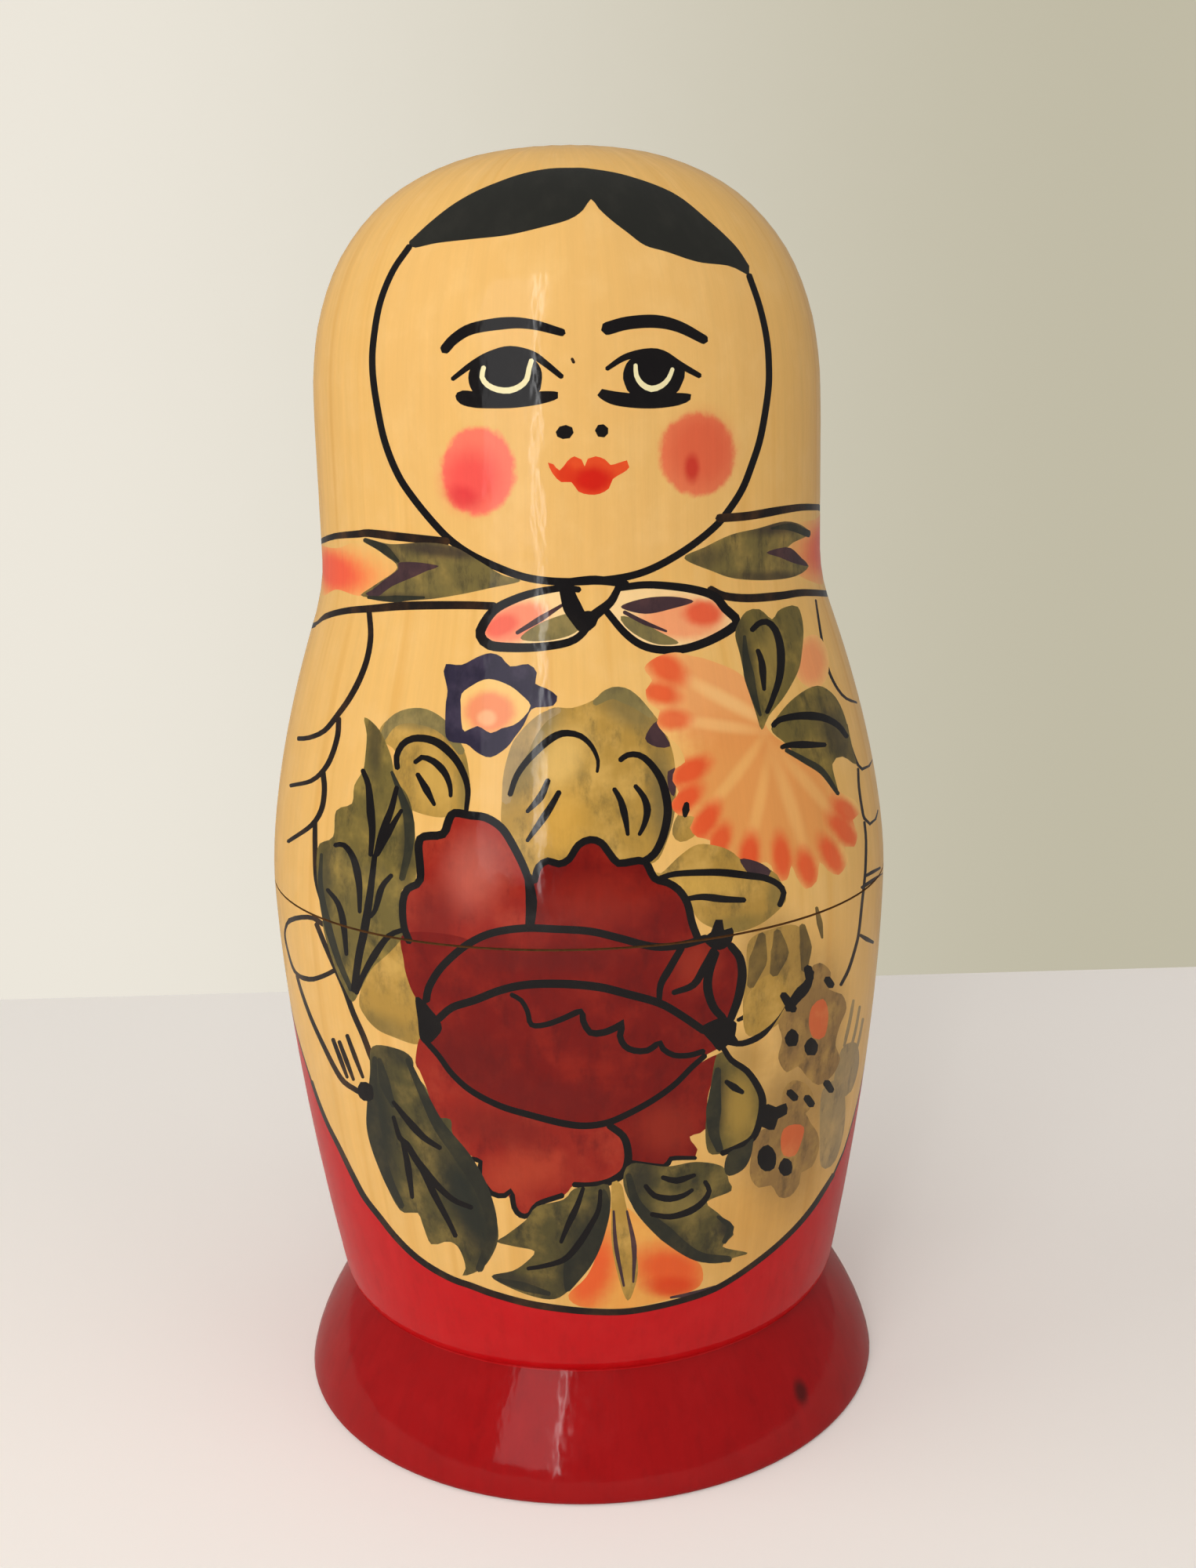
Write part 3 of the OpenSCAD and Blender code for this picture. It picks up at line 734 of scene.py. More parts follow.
class Shader:
    """Adds nodes to one material and links them."""

    def __init__(self, name):
        self.material = bpy.data.materials.new(name)
        self.material.use_nodes = True
        self.tree = self.material.node_tree
        self.tree.nodes.clear()

    def add(self, kind, values=None, **settings):
        node = self.tree.nodes.new(kind)
        for key, value in settings.items():
            setattr(node, key, value)
        for key, value in (values or {}).items():
            if isinstance(value, bpy.types.NodeSocket):
                self.tree.links.new(value, node.inputs[key])
            else:
                node.inputs[key].default_value = value
        return node

    def math(self, operation, a, b=0.0):
        return self.add("ShaderNodeMath", {0: a, 1: b}, operation=operation).outputs[0]

    def vector(self, operation, a, b):
        return self.add("ShaderNodeVectorMath", {0: a, 1: b}, operation=operation).outputs

    def stretch(self, vector, x, y, z=1.0):
        return self.vector("MULTIPLY", vector, (x, y, z))[0]

    def mix(self, amount, a, b, blend="MIX"):
        return self.add("ShaderNodeMix", {0: amount, 6: a, 7: b}, data_type="RGBA", blend_type=blend).outputs[2]

    def noise(self, vector, scale, detail=3.0, roughness=0.55):
        values = {"Vector": vector, "Scale": scale, "Detail": detail, "Roughness": roughness}
        return self.add("ShaderNodeTexNoise", values).outputs["Fac"]

    def ramp(self, value, low, high, to_low=0.0, to_high=1.0):
        values = {"Value": value, "From Min": low, "From Max": high, "To Min": to_low, "To Max": to_high}
        return self.add("ShaderNodeMapRange", values, interpolation_type="SMOOTHSTEP").outputs["Result"]

    def bump(self, height, strength):
        return self.add("ShaderNodeBump", {"Strength": strength, "Distance": BUMP_DEPTH, "Height": height}).outputs[0]

    def surface(self, colour, roughness, coat, coat_roughness, normal, more=None):
        """Ends the material with a surface. More holds values for its other sockets."""
        shader = self.add("ShaderNodeBsdfPrincipled", {
            "Base Color": colour, "Roughness": roughness, "Coat Weight": coat, "Coat Roughness": coat_roughness,
            "Specular IOR Level": 0.0, "Normal": normal, **(more or {})})
        self.add("ShaderNodeOutputMaterial", {0: shader.outputs[0]})
        return self.material


# Half of the distance in pixels over which the size of a pixel on the plane is measured
PIXEL_PROBE = 4.0


def spot_units(place, size, angle):
    """Centre on the plane, and the two rows that turn an offset there into the spot's own units."""
    if isinstance(place, str):
        return place_of(place), np.diag([1 / size[0], 1 / size[1]])
    x, y = place
    d = PIXEL_PROBE
    right = (to_plane((x + d, y))[0] - to_plane((x - d, y))[0]) / (2 * d)
    down = (to_plane((x, y + d))[0] - to_plane((x, y - d))[0]) / (2 * d)
    a = math.radians(angle)
    long_axis = (right * math.cos(a) + down * math.sin(a)) * size[0]
    short_axis = (-right * math.sin(a) + down * math.cos(a)) * size[1]
    return to_plane(place)[0], np.linalg.inv(np.stack([long_axis, short_axis], 1))


# Weight of the varnish, its waves, and how ragged the edges of spots are
GLOSS, VARNISH_WAVES, SPOT_RAGGED = 0.45, 0.07, 0.25


def painted(name, tone, thin=None, deep=None, streak=None, grain=0.10, wash=0.6, spots=()):
    """Transparent dye over light wood under varnish. Spots are soft touches of another colour."""
    s = Shader(name)
    mm = s.stretch(s.add("ShaderNodeUVMap", uv_map="Paint").outputs[0], MAP_UNIT, MAP_UNIT, 0.0)
    fibre = s.noise(s.stretch(mm, 1.0, 0.035), 0.55, 5.0, 0.6)
    fine = s.noise(s.stretch(mm, 1.0, 0.06), 2.6, 3.0, 0.6)
    cloud = s.noise(mm, 0.16, 4.0, 0.6)
    brush = s.noise(s.stretch(mm, 0.9, 0.45), 0.4, 5.0, 0.7)
    blot = s.noise(mm, 0.7, 3.0, 0.6)
    colour = linear(tone)
    if thin is not None:
        colour = s.mix(s.math("MULTIPLY", s.ramp(cloud, 0.42, 0.72), wash), colour, linear(thin))
    if deep is not None:
        colour = s.mix(s.math("MULTIPLY", s.ramp(brush, 0.45, 0.75), wash), colour, linear(deep))
    if streak is not None:
        band = s.ramp(s.noise(s.stretch(mm, 1.0, 0.02), 0.22, 2.0), 0.52, 0.7)
        colour = s.mix(s.math("MULTIPLY", band, 0.55), colour, linear(streak))
    for tint, place, size, angle, soft, amount in spots:
        centre, rows = spot_units(place, size, angle)
        offset = s.vector("SUBTRACT", mm, (*centre, 0.0))[0]
        along_it, over_it = (s.vector("DOT_PRODUCT", offset, (*row, 0.0))["Value"] for row in rows)
        squares = s.math("ADD", s.math("MULTIPLY", along_it, along_it), s.math("MULTIPLY", over_it, over_it))
        ragged = s.math("MULTIPLY", s.math("SUBTRACT", blot, 0.5), SPOT_RAGGED)
        reach = s.math("ADD", s.math("SQRT", squares), ragged)
        cover = s.math("MULTIPLY", s.ramp(reach, 1.0 + soft, 1.0 - soft), amount)
        colour = s.mix(cover, colour, linear(tint))
    lines = s.math("ADD", s.math("MULTIPLY", fibre, grain * 1.4), s.math("MULTIPLY", fine, grain * 0.6))
    light = s.math("ADD", 1.0 - grain, lines)
    grey = s.add("ShaderNodeCombineColor", {0: light, 1: light, 2: light}).outputs[0]
    colour = s.mix(1.0, colour, grey, "MULTIPLY")
    rough, coat_rough = s.ramp(cloud, 0.3, 0.7, 0.34, 0.46), s.ramp(blot, 0.3, 0.7, 0.06, 0.13)
    normal = s.bump(s.math("ADD", fibre, s.math("MULTIPLY", cloud, 1.5)), 0.05)
    waves = s.bump(s.noise(s.stretch(mm, 1.0, 0.5), 0.35, 2.0, 0.5), VARNISH_WAVES)
    return s.surface(colour, rough, GLOSS, coat_rough, normal, {"Coat Normal": waves})


def bare_wood(name, tone, dark):
    """Unpainted turned wood, with grain along the axis and the tool's fine rings round it."""
    s = Shader(name)
    place = s.add("ShaderNodeTexCoord").outputs["Object"]
    grain = s.noise(s.stretch(place, 900.0, 900.0, 60.0), 1.0, 5.0, 0.6)
    cloud = s.noise(place, 60.0, 3.0)
    height = s.add("ShaderNodeSeparateXYZ", {0: place}).outputs[2]
    rings = s.math("SINE", s.math("MULTIPLY", height, 5200.0))
    colour = s.mix(s.ramp(grain, 0.35, 0.75), linear(tone), linear(dark))
    colour = s.mix(s.math("MULTIPLY", s.ramp(cloud, 0.4, 0.7), 0.4), colour, linear(dark))
    normal = s.bump(s.math("ADD", s.math("MULTIPLY", rings, 0.25), grain), 0.12)
    return s.surface(colour, s.ramp(grain, 0.3, 0.7, 0.5, 0.65), 0.1, 0.3, normal)


WOOD = dict(tone=(230, 181, 104), thin=(234, 188, 116), grain=0.13)
# Ends of the carnation's petals: their colour and softness, then the place, half sizes, turn and amount of each
ORANGE_TIP, TIP_SOFTNESS = (226, 76, 36), 0.5
CARNATION_TIPS = [
    ((850, 852), (30, 17), 35, 0.85), ((842, 884), (26, 13), 14, 0.85), ((858, 918), (24, 13), 0, 0.75),
    ((880, 984), (30, 15), -29, 0.9), ((874, 1020), (28, 14), -39, 0.9), ((900, 1048), (30, 14), -57, 0.9),
    ((918, 1074), (26, 13), -67, 0.85), ((956, 1092), (30, 13), -83, 0.9), ((998, 1093), (30, 12), 83, 0.85),
    ((1030, 1108), (26, 12), 75, 0.85), ((1062, 1092), (28, 12), 63, 0.85), ((1078, 1060), (28, 12), 52, 0.85),
    ((1080, 1034), (22, 11), 46, 0.8),
]
# Paints by name. A spot is its colour and place, half its length and width in pixels, or in millimetres at a place
# given by angle and height, its turn in degrees, softness and amount.
PAINTS = {
    "wood": dict(**WOOD, streak=(218, 162, 80), spots=[
        # The first spot darkens the lower right of the apron: painted shade.
        ((204, 148, 70), (970, 1555), (110, 70), -25, 0.9, 0.6), ((146, 114, 62), (988, 1218), (34, 44), 0, 0.9, 0.8),
        ((150, 116, 66), (1040, 1306), (36, 76), 8, 0.8, 0.75), ((150, 116, 62), (1016, 1400), (40, 30), 0, 0.9, 0.75),
        ((146, 112, 62), (1004, 1470), (46, 60), 0, 0.8, 0.75), ((150, 128, 86), (1066, 1410), (14, 60), 4, 0.9, 0.7),
        ((150, 116, 60), (952, 1350), (24, 26), 0, 0.9, 0.6)]),
    "face": dict(tone=(230, 181, 106), thin=(236, 190, 118), grain=0.10, spots=[
        ((246, 112, 96), (609, 601), (47, 56), 0, 0.10, 0.92), ((236, 70, 70), (600, 612), (34, 36), 0, 0.6, 0.75),
        ((214, 44, 54), (590, 634), (20, 13), 20, 0.6, 0.6),
        ((228, 112, 76), (892, 580), (48, 53), 0, 0.10, 0.92), ((214, 78, 50), (896, 574), (40, 44), 0, 0.5, 0.55),
        ((196, 46, 36), (883, 597), (9, 17), 0, 0.5, 0.85)]),
    "red": dict(tone=(192, 15, 20), thin=(198, 26, 28), deep=(168, 12, 16), grain=0.10, wash=0.5),
    "foot": dict(tone=(154, 9, 12), thin=(164, 16, 18), deep=(134, 8, 11), grain=0.10, wash=0.5, spots=[
        ((66, 16, 14), (1022, 1775), (8, 15), -12, 0.6, 0.85)]),
    "hair": dict(tone=(36, 36, 32), thin=(44, 43, 38), grain=0.06),
    "ink": dict(tone=(17, 14, 15), thin=(26, 22, 20), grain=0.05),
    "ink_thin": dict(tone=(28, 20, 17), thin=(70, 46, 26), grain=0.08, wash=0.8),
    "eye": dict(tone=(238, 226, 176), thin=(232, 214, 160), grain=0.05),
    "lip": dict(tone=(224, 74, 34), thin=(230, 92, 40), grain=0.06, spots=[
        ((206, 28, 15), (756, 612), (26, 16), 0, 0.5, 0.95), ((212, 48, 22), (722, 604), (12, 12), 0, 0.5, 0.7)]),
    "bud_left": dict(**WOOD, spots=[
        ((244, 146, 80), "-65:124.2", (17, 3.6), 0, 0.5, 0.85), ((240, 84, 60), "-66:124.2", (12, 2.6), 0, 0.5, 0.9)]),
    "bud_right": dict(**WOOD, spots=[
        ((236, 126, 80), "76:125", (15, 4.4), 0, 0.5, 0.85), ((224, 82, 62), "78:125", (10, 2.8), 0, 0.5, 0.75)]),
    "bud_back": dict(tone=(238, 136, 88), thin=(240, 96, 68), grain=0.1, wash=0.8),
    "bow_left": dict(tone=(244, 206, 146), spots=[
        ((240, 120, 92), (655, 795), (44, 24), -22, 0.3, 0.85), ((232, 80, 66), (640, 798), (22, 13), -22, 0.4, 0.7)]),
    "bow_right": dict(tone=(244, 206, 146), spots=[
        ((238, 140, 92), (872, 790), (56, 26), 0, 0.35, 0.8), ((226, 76, 44), (898, 782), (24, 16), 0, 0.4, 0.85)]),
    "leaf_band": dict(tone=(114, 100, 56), thin=(158, 132, 70), deep=(64, 58, 42), grain=0.14, wash=0.85, spots=[
        ((54, 44, 42), (560, 702), (56, 9), 6, 0.7, 0.8), ((58, 48, 44), (486, 702), (26, 10), 35, 0.6, 0.85),
        ((64, 54, 42), (500, 764), (44, 7), 0, 0.7, 0.75), ((56, 46, 42), (1000, 672), (36, 9), -8, 0.7, 0.8),
        ((60, 50, 42), (985, 736), (46, 7), 0, 0.7, 0.7), ((72, 62, 44), (900, 712), (22, 14), -25, 0.7, 0.6)]),
    "leaf": dict(tone=(108, 94, 48), thin=(156, 130, 62), deep=(62, 58, 38), grain=0.14, wash=0.85, spots=[
        ((56, 52, 36), (521, 1070), (10, 70), 4, 0.7, 0.75), ((60, 56, 38), (414, 1120), (9, 60), 0, 0.7, 0.7),
        ((58, 52, 38), (478, 950), (8, 40), 0, 0.7, 0.7), ((54, 50, 36), (952, 850), (12, 60), -8, 0.7, 0.8),
        ((56, 50, 38), (1070, 940), (16, 44), -20, 0.7, 0.75), ((158, 132, 66), (985, 840), (14, 36), 0, 0.7, 0.6),
        ((48, 44, 34), (912, 1410), (16, 56), 4, 0.6, 0.85), ((172, 138, 62), (944, 1415), (18, 40), 0, 0.7, 0.8)]),
    "leaf_low": dict(tone=(82, 74, 42), thin=(132, 112, 58), deep=(46, 45, 35), grain=0.14, wash=0.9, spots=[
        ((40, 42, 35), (482, 1430), (20, 84), -8, 0.7, 0.95), ((38, 41, 35), (598, 1540), (24, 94), -24, 0.7, 0.95),
        ((44, 44, 36), (512, 1345), (30, 14), 10, 0.7, 0.7), ((40, 41, 35), (750, 1590), (24, 64), 22, 0.7, 0.9),
        ((40, 42, 35), (840, 1576), (18, 74), -48, 0.7, 0.95), ((48, 46, 38), (820, 1500), (18, 22), 0, 0.7, 0.75),
        ((46, 44, 36), (926, 1566), (10, 12), 0, 0.6, 0.85), ((52, 48, 38), (650, 1632), (40, 8), 10, 0.7, 0.75),
        ((140, 120, 64), (870, 1540), (30, 16), 0, 0.7, 0.6)]),
    "leaf_dark": dict(tone=(44, 44, 35), thin=(72, 66, 42), deep=(34, 35, 30), grain=0.12, wash=0.6),
    "moss": dict(tone=(124, 110, 66), thin=(152, 132, 80), deep=(92, 84, 58), grain=0.12, wash=0.8),
    "olive": dict(tone=(174, 136, 62), thin=(204, 162, 84), deep=(118, 98, 52), grain=0.14, wash=0.9, spots=[
        ((120, 108, 72), (676, 956), (22, 70), 28, 0.7, 0.8), ((116, 102, 62), (806, 908), (46, 18), 28, 0.7, 0.75),
        ((106, 92, 56), (846, 1020), (16, 70), -4, 0.7, 0.8), ((220, 178, 100), (716, 968), (26, 40), 30, 0.7, 0.85),
        ((206, 156, 66), (716, 1052), (30, 40), 20, 0.7, 0.7), ((122, 108, 66), (526, 920), (46, 10), 8, 0.7, 0.75),
        ((204, 162, 80), (552, 1000), (22, 32), 0, 0.7, 0.7), ((120, 104, 56), (592, 1000), (8, 44), 0, 0.7, 0.7),
        ((122, 104, 52), (940, 1180), (40, 12), -8, 0.7, 0.7), ((126, 108, 58), (990, 1140), (10, 24), 0, 0.7, 0.7),
        ((208, 164, 76), (900, 1130), (50, 12), 0, 0.7, 0.7), ((116, 98, 52), (480, 1310), (40, 16), 20, 0.7, 0.7)]),
    "olive_dark": dict(tone=(166, 130, 64), thin=(186, 146, 72), deep=(118, 96, 52), grain=0.14, wash=0.85),
    "umber": dict(tone=(104, 84, 46), thin=(138, 110, 56), deep=(76, 62, 42), grain=0.14, wash=0.85),
    "grey": dict(tone=(158, 134, 92), thin=(190, 156, 100), deep=(120, 104, 80), grain=0.12, wash=0.8),
    "plum": dict(tone=(66, 46, 50), thin=(98, 66, 62), deep=(46, 34, 40), grain=0.1, wash=0.7),
    "indigo": dict(tone=(46, 40, 58), thin=(76, 66, 84), deep=(34, 30, 44), grain=0.08, wash=0.7),
    "flower_heart": dict(tone=(238, 192, 116), spots=[
        ((236, 132, 96), (624, 908), (32, 26), 0, 0.3, 0.85), ((240, 178, 130), (621, 916), (12, 10), 0, 0.4, 0.9)]),
    "carnation": dict(tone=(240, 190, 112), spots=[
        ((232, 154, 92), (915, 895), (96, 58), 30, 0.3, 0.85), ((226, 148, 78), (985, 1022), (122, 96), 45, 0.3, 0.9),
        ((244, 194, 124), (930, 895), (62, 8), 28, 0.7, 0.7), ((244, 190, 120), (915, 925), (56, 7), 8, 0.7, 0.6),
        ((240, 182, 106), (938, 990), (60, 7), -52, 0.7, 0.6), ((240, 180, 104), (968, 1030), (62, 7), -78, 0.7, 0.6),
        ((240, 182, 108), (1010, 1030), (62, 8), 72, 0.7, 0.6), ((238, 180, 106), (1036, 1006), (56, 7), 50, 0.7, 0.6),
        *((ORANGE_TIP, *tip, TIP_SOFTNESS, amount) for *tip, amount in CARNATION_TIPS)]),
    "blush_soft": dict(tone=(240, 192, 116), spots=[((232, 128, 84), (1036, 844), (20, 32), 0, 0.5, 0.7)]),
    "berry": dict(tone=(146, 112, 64), thin=(180, 140, 74), deep=(96, 74, 50), grain=0.14, wash=0.9),
    "berry_heart": dict(tone=(206, 100, 54), thin=(218, 130, 74), grain=0.08),
    "peony": dict(tone=(116, 14, 8), thin=(142, 30, 16), deep=(90, 10, 8), grain=0.14, wash=0.75, spots=[
        ((158, 48, 28), (890, 1230), (30, 26), -50, 0.7, 0.7), ((150, 40, 26), (760, 1150), (60, 30), 0, 0.7, 0.6),
        ((98, 16, 14), (600, 1350), (60, 30), 25, 0.7, 0.6), ((104, 18, 16), (700, 1400), (80, 20), 8, 0.7, 0.6),
        ((152, 44, 26), (850, 1440), (34, 30), 0, 0.7, 0.7), ((100, 18, 16), (700, 1225), (90, 14), 0, 0.7, 0.6)]),
    "peony_light": dict(tone=(148, 34, 22), thin=(170, 56, 36), deep=(114, 20, 16), grain=0.14, wash=0.8, spots=[
        # The first spot is a painted reflection: a pale pink sheen on the upper left petal.
        ((196, 104, 88), (604, 1110), (34, 46), 20, 0.8, 0.6), ((110, 22, 18), (550, 1170), (30, 40), 0, 0.7, 0.6),
        ((112, 24, 18), (640, 1440), (60, 24), 12, 0.7, 0.6), ((180, 66, 40), (660, 1500), (50, 24), -8, 0.7, 0.6)]),
    "bloom": dict(tone=(232, 160, 76), thin=(238, 178, 92), spots=[
        ((230, 92, 42), (754, 1624), (28, 50), 22, 0.6, 0.95), ((228, 88, 38), (856, 1620), (46, 28), 10, 0.6, 0.95),
        ((216, 62, 22), (858, 1642), (32, 12), 0, 0.6, 0.85)]),
}
# Tone and dark grain of the unpainted wood, and of the bevels at the seam, whose dark tone is painted shade that shows
# as a dark line in the groove between the halves
BARE_WOODS = {"bare": ((226, 190, 136), (204, 164, 108)), "rim": ((92, 60, 32), (70, 46, 26))}
made_materials = {}


def material(name):
    if name not in made_materials:
        bare = BARE_WOODS.get(name)
        made_materials[name] = bare_wood(name, *bare) if bare else painted(name, **PAINTS[name])
    return made_materials[name]


# Meshes of the dressed pieces

class Piece:
    """Gathers corners, faces, paints and maps of one closed mesh."""

    def __init__(self):
        self.points, self.faces, self.paints, self.normals, self.plane, self.bake = [], [], [], [], [], []

    def face(self, ids, paint, normals, plane, bake):
        self.faces.append(tuple(ids))
        self.paints.append(paint)
        self.normals.extend(normals)
        self.plane.extend(plane)
        self.bake.extend(bake)

    def build(self, name):
        mesh = bpy.data.meshes.new(name)
        mesh.from_pydata([tuple(p) for p in np.array(self.points) / MM], [], self.faces)
        names = sorted(set(self.paints))
        for paint in names:
            mesh.materials.append(material(paint))
        index = {paint: i for i, paint in enumerate(names)}
        mesh.polygons.foreach_set("material_index", [index[p] for p in self.paints])
        mesh.polygons.foreach_set("use_smooth", [True] * len(self.faces))
        for title, values in (("Paint", self.plane), ("OFBake", self.bake)):
            layer = mesh.uv_layers.new(name=title)
            layer.data.foreach_set("uv", np.array(values, float).reshape(-1))
        mesh.normals_split_custom_set([tuple(n) for n in self.normals])
        piece = bpy.data.objects.new(name, mesh)
        bpy.context.scene.collection.objects.link(piece)
        return piece


# The baked map. The front, up to an angle on each side, takes this share of its width, and a margin stays free.
FRONT_ANGLE, FRONT_SHARE = math.radians(100), 0.74
BAKE_MARGIN = 0.004
# Bands of the baked map's height for the painted skin and for the bare inside and underside of each kind of piece
CUP_BANDS = (BAKE_MARGIN, 0.56), (0.58, 0.96), (0.965, 0.996)
CAP_BANDS = (BAKE_MARGIN, 0.60), (0.62, 0.996)
SOLID_BANDS = (BAKE_MARGIN, 0.95), (0.955, 0.994)
# The pole's oval there: its middle and half sizes
POLE_U, POLE_V, POLE_WIDE, POLE_HIGH = 0.5, 0.998, 0.003, 0.0015


def bake_across(angle):
    """The front takes more of the baked map's width than the back."""
    a = np.abs(angle)
    behind = (a - FRONT_ANGLE) / (math.pi - FRONT_ANGLE)
    half = np.where(a < FRONT_ANGLE, a / FRONT_ANGLE * FRONT_SHARE, FRONT_SHARE + behind * (1 - FRONT_SHARE))
    return 0.5 + np.sign(angle) * half * (0.5 - BAKE_MARGIN)


def between(band, share):
    return band[0] + (band[1] - band[0]) * share


def add_skin(piece, sheet, keep, skin, v_from, v_to, band):
    """Wraps the kept triangles of the painted plane round an outline. Returns what ring_of needs."""
    corners, triangles, paint = sheet
    used = np.unique(triangles[keep])
    share = np.clip((corners[:, 1] - v_from) / (v_to - v_from), 0, 1)
    angle = corners[:, 0] / BELLY_R
    r, z = skin.at(share)
    at = np.stack([r * np.sin(angle), -r * np.cos(angle), z], 1)
    ids, back = {}, {}
    for i in used:
        ids[i] = len(piece.points)
        if abs(abs(corners[i, 0]) - HALF_TURN) < NOTHING:
            # The plane's two ends meet at the back, where they share their corners
            ids[i] = back.setdefault(round(float(corners[i, 1]), 2), ids[i])
        if ids[i] == len(piece.points):
            piece.points.append(at[i])
    rows = triangles[keep]
    across, up = bake_across(angle), between(band, share)
    # Normals are taken a little inside each face, on its own side of a sharp bend
    inside = share[rows] * 0.98 + share[rows].mean(1)[:, None] * 0.02
    flat = skin.normal(inside.reshape(-1)).reshape(-1, 3, 2)
    for row, n, name in zip(rows, flat, paint[keep]):
        if len({ids[i] for i in row}) < 3:
            continue
        normals = [(n[k, 0] * math.sin(angle[i]), -n[k, 0] * math.cos(angle[i]), n[k, 1]) for k, i in enumerate(row)]
        plane = [(corners[i, 0] / MAP_UNIT, corners[i, 1] / MAP_UNIT) for i in row]
        piece.face([ids[i] for i in row], name, normals, plane, [(across[i], up[i]) for i in row])
    return corners, ids, used


def ring_of(corners, ids, used, v):
    """The corners on one level of the plane, in order round the axis, without the doubled one at the back."""
    on = [i for i in used if abs(corners[i, 1] - v) < NOTHING]
    on.sort(key=lambda i: corners[i, 0])
    return [(corners[i, 0] / BELLY_R, ids[i]) for i in on if corners[i, 0] < HALF_TURN - NOTHING]


def angle_at(ring, i):
    """The angle of a ring's corner, where counting on past the last one adds a full turn."""
    return ring[i % len(ring)][0] + (2 * math.pi if i >= len(ring) else 0)


def add_turned(piece, ring, outline, count, paints, inward, band):
    """Goes on from a ring along an outline, turning it round the axis, and closes it at the axis."""
    skin = Skin(outline)
    sign = -1 if inward else 1
    for step in range(1, len(outline)):
        r, z = outline[step]
        if r < NOTHING:
            fresh = [(0.0, len(piece.points))]
            piece.points.append((0.0, 0.0, z))
        else:
            angles = -math.pi + 2 * math.pi * np.arange(count) / count
            fresh = [(a, len(piece.points) + i) for i, a in enumerate(angles)]
            piece.points.extend(zip(r * np.sin(angles), -r * np.cos(angles), np.full(count, z)))

        def corner(a, top):
            n = (skin.n_to if top else skin.n_from)[step - 1] * sign
            k = step if top else step - 1
            normal = n[0] * math.sin(a), -n[0] * math.cos(a), n[1]
            across = BAKE_MARGIN + (1 - 2 * BAKE_MARGIN) * (a + math.pi) / (2 * math.pi)
            return normal, (a * BELLY_R / MAP_UNIT, skin.arc[k] / MAP_UNIT), (across, between(band, skin.share[k]))

        # Goes round both rings at once, each time on the one whose next corner comes first
        i, j, m, n = 0, 0, len(ring), len(fresh)
        last = n if n > 1 else 0
        while i < m or j < last:
            a_here, a_next = angle_at(ring, i), angle_at(ring, i + 1) if i < m else math.inf
            b_next = angle_at(fresh, j + 1) if j < last else math.inf
            b_here = angle_at(fresh, j) if n > 1 else (a_here + min(a_next, a_here + 1)) / 2
            trio = [(ring[i % m][1], a_here, False), (fresh[j % n][1], b_here, True)]
            if a_next <= b_next:
                i += 1
                trio.insert(1, (ring[i % m][1], a_next, False))
            else:
                j += 1
                trio.insert(1, (fresh[j % n][1], b_next, True))
            if inward:
                trio.reverse()
            piece.face([k for k, _, _ in trio], paints[step - 1], *zip(*(corner(a, top) for _, a, top in trio)))
        ring = fresh


def close_pole(piece, made, skin):
    """Closes the top of the head with a fan of faces."""
    ring = ring_of(*made, V_TOP)
    top = len(piece.points)
    piece.points.append((0.0, 0.0, skin.z[-1]))
    for i, (a, k) in enumerate(ring):
        b, l = angle_at(ring, i + 1), ring[(i + 1) % len(ring)][1]
        flat = (a, V_TOP), (b, V_TOP), ((a + b) / 2, V_POLE)
        plane = [(t * BELLY_R / MAP_UNIT, v / MAP_UNIT) for t, v in flat]
        bake = [(POLE_U + POLE_WIDE * math.sin(t) * s, POLE_V + POLE_HIGH * math.cos(t) * s)
                for t, s in ((a, 1), (b, 1), (a, 0))]
        piece.face((k, l, top), "wood", [(0.0, 0.0, 1.0)] * 3, plane, bake)


def rim_and_inside(piece, ring, outline, count, inward, band):
    """The bevel at the seam, dark with painted shade, and the bare wood from there to the axis."""
    if outline[-1][0] > NOTHING:
        outline = np.vstack([outline, [0.0, outline[-1][1]]])
    add_turned(piece, ring, outline, count, ["rim"] + ["bare"] * (len(outline) - 2), inward, band)


def dress_cup(node, sheet, count):
    under, outside, rest = split_cup(walk_rings(node))
    piece = Piece()
    keep = sheet[0][sheet[1]][:, :, 1].mean(1) < V_LOW
    made = add_skin(piece, sheet, keep, Skin(outside), 0, V_LOW, CUP_BANDS[0])
    rim_and_inside(piece, ring_of(*made, V_LOW), rest, count, False, CUP_BANDS[1])
    add_turned(piece, ring_of(*made, 0.0), under[::-1], count, ["bare"] * BARE_STEPS, True, CUP_BANDS[2])
    return piece


def dress_cap(node, sheet, count):
    outside, rest = split_cap(walk_rings(node))
    piece, skin = Piece(), Skin(outside)
    keep = sheet[0][sheet[1]][:, :, 1].mean(1) > V_HIGH
    made = add_skin(piece, sheet, keep, skin, V_HIGH, V_POLE, CAP_BANDS[0])
    close_pole(piece, made, skin)
    rim_and_inside(piece, ring_of(*made, V_HIGH), rest, count, True, CAP_BANDS[1])
    return piece


def dress_solid(node, sheet, count):
    rings = walk_rings(node)
    piece, skin = Piece(), Skin(rings[BARE_STEPS:])
    made = add_skin(piece, sheet, np.ones(len(sheet[1]), bool), skin, 0, V_POLE, SOLID_BANDS[0])
    close_pole(piece, made, skin)
    under = rings[:BARE_STEPS + 1][::-1]
    add_turned(piece, ring_of(*made, 0.0), under, count, ["bare"] * BARE_STEPS, True, SOLID_BANDS[1])
    return piece


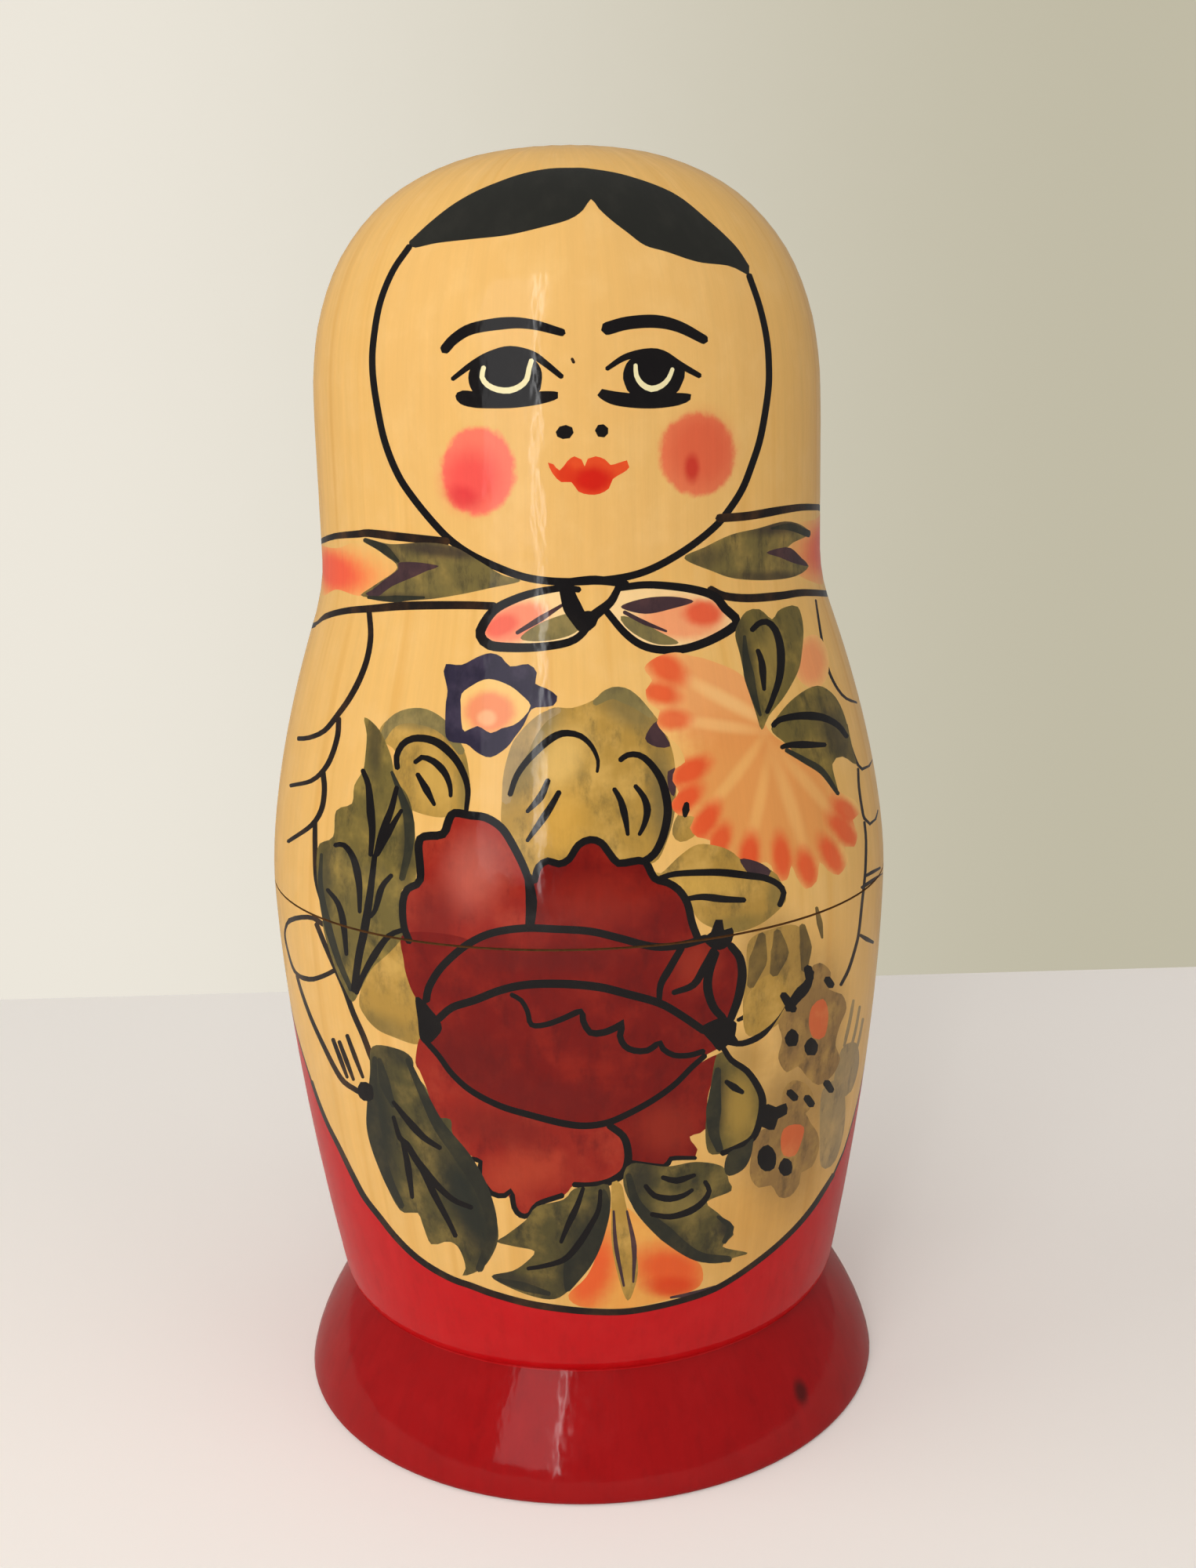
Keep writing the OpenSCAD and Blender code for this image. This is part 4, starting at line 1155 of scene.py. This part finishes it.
# Levels of detail: a curve's step in pixels, the grid in millimetres on the largest doll, and steps round the axis
DETAIL = [(7, 2.4, 128), (9, 3.2, 96), (14, 4.5, 72)]
DETAIL_OF = {"outer": 0, "second": 1, "third": 1, "fourth": 2, "fifth": 2, "sixth": 2, "smallest": 2}
sheets = [paint_plane(step, grid) for step, grid, _ in DETAIL]
for doll, level in DETAIL_OF.items():
    parts = [(doll + "_bottom", dress_cup), (doll + "_top", dress_cap)]
    if doll == "smallest":
        parts = [("smallest_doll", dress_solid)]
    for node, dress in parts:
        dressed = dress(node, sheets[level], DETAIL[level][2]).build("dressed_" + node)
        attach(dressed, node)
        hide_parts(node)


# Stage, camera and light

def plain(name, colour, shade_colour, fade, roughness, glow):
    """A plain surface with painted shade, darkening to another colour towards the right, that is a little paler to the
    camera.
    """
    s = Shader(name)
    place = s.add("ShaderNodeTexCoord").outputs["Object"]
    across = s.add("ShaderNodeSeparateXYZ", {0: place}).outputs[0]
    cloud = s.math("MULTIPLY", s.math("SUBTRACT", s.noise(place, 9.0, 2.0), 0.5), 0.06)
    shade = s.mix(s.ramp(s.math("ADD", across, cloud), *fade), linear(colour), linear(shade_colour))
    seen = s.math("MULTIPLY", s.add("ShaderNodeLightPath").outputs["Is Camera Ray"], glow)
    normal = s.bump(s.noise(place, 260.0, 3.0), 0.02)
    return s.surface(shade, roughness, 0.0, 0.3, normal, {"Emission Color": shade, "Emission Strength": seen})


def panel(name, corners, mat):
    mesh = bpy.data.meshes.new(name)
    mesh.from_pydata(corners, [], [(0, 1, 2, 3)])
    mesh.materials.append(mat)
    made = bpy.data.objects.new(name, mesh)
    bpy.context.scene.collection.objects.link(made)
    return made


# The table's back edge, and a wall far enough behind it that views from behind stand in front of it
TABLE_BACK, WALL_BACK = 0.167, 4.0
# Both darken towards the right with painted shade, the wall much more than the table.
panel("table", [(-1.5, -1.2, 0), (1.5, -1.2, 0), (1.5, TABLE_BACK, 0), (-1.5, TABLE_BACK, 0)],
      plain("table", (240, 235, 229), (236, 230, 224), (-0.12, 0.16), 0.45, 0.2))
panel("wall", [(-8, WALL_BACK, -12), (8, WALL_BACK, -12), (8, WALL_BACK, 8), (-8, WALL_BACK, 8)],
      plain("wall", (242, 237, 226), (196, 191, 170), (-1.5, 1.4), 0.8, 0.58)).visible_glossy = False

SENSOR = 36.0
lens = bpy.data.cameras.new("camera")
lens.sensor_fit = "VERTICAL"
lens.sensor_height = SENSOR
lens.lens = FOCAL / FRAME_H * SENSOR
lens.clip_start, lens.clip_end = 0.01, 20
camera = bpy.data.objects.new("camera", lens)
pose = np.eye(4)
pose[:3, :] = np.stack([AXES[:, 0], AXES[:, 2], -AXES[:, 1], CAMERA_AT / MM], 1)
camera.matrix_world = Matrix(pose.tolist())
bpy.context.scene.collection.objects.link(camera)
bpy.context.scene.camera = camera

# Each lamp's place, the point it aims at, its size, power and colour, and whether the varnish mirrors it
WHITE, DAYLIGHT = (1, 1, 1), (1.0, 0.98, 0.95)
LAMPS = {
    "window": ((-1.1, -0.25, 0.55), (0, 0, 0.1), (0.9, 1.0), 3.9, DAYLIGHT, False),
    "strip": ((-0.13, -0.55, 0.32), (0, 0, 0.09), (0.02, 0.6), 0.36, WHITE, True),
    "sheen": ((-0.27, -0.60, 0.36), (0, 0, 0.09), (0.3, 0.6), 1.0, WHITE, True),
    "fill": ((-0.25, -1.3, 0.9), (0, 0, 0.1), (1.2, 0.9), 6.0, WHITE, False),
    "right": ((1.0, -0.7, 0.95), (0, 0, 0.1), (1.0, 0.9), 2.0, WHITE, False),
    "ceiling": ((0, -0.15, 1.4), (0, 0, 0), (1.2, 1.2), 1.7, WHITE, False),
}
for name, (at, aim, size, power, colour, mirrored) in LAMPS.items():
    data = bpy.data.lights.new(name, "AREA")
    data.shape = "RECTANGLE"
    data.size, data.size_y = size
    data.energy = power
    data.color = colour
    lamp = bpy.data.objects.new(name, data)
    lamp.location = at
    lamp.rotation_mode = "QUATERNION"
    lamp.rotation_quaternion = (Vector(aim) - Vector(at)).to_track_quat("-Z", "Y")
    lamp.visible_glossy = mirrored
    bpy.context.scene.collection.objects.link(lamp)
world = bpy.data.worlds.new("room")
world.use_nodes = True
sky = world.node_tree.nodes["Background"]
sky.inputs["Color"].default_value = (1.0, 0.985, 0.96, 1.0)
sky.inputs["Strength"].default_value = 0.34
bpy.context.scene.world = world
bpy.context.scene.view_settings.view_transform = "Standard"
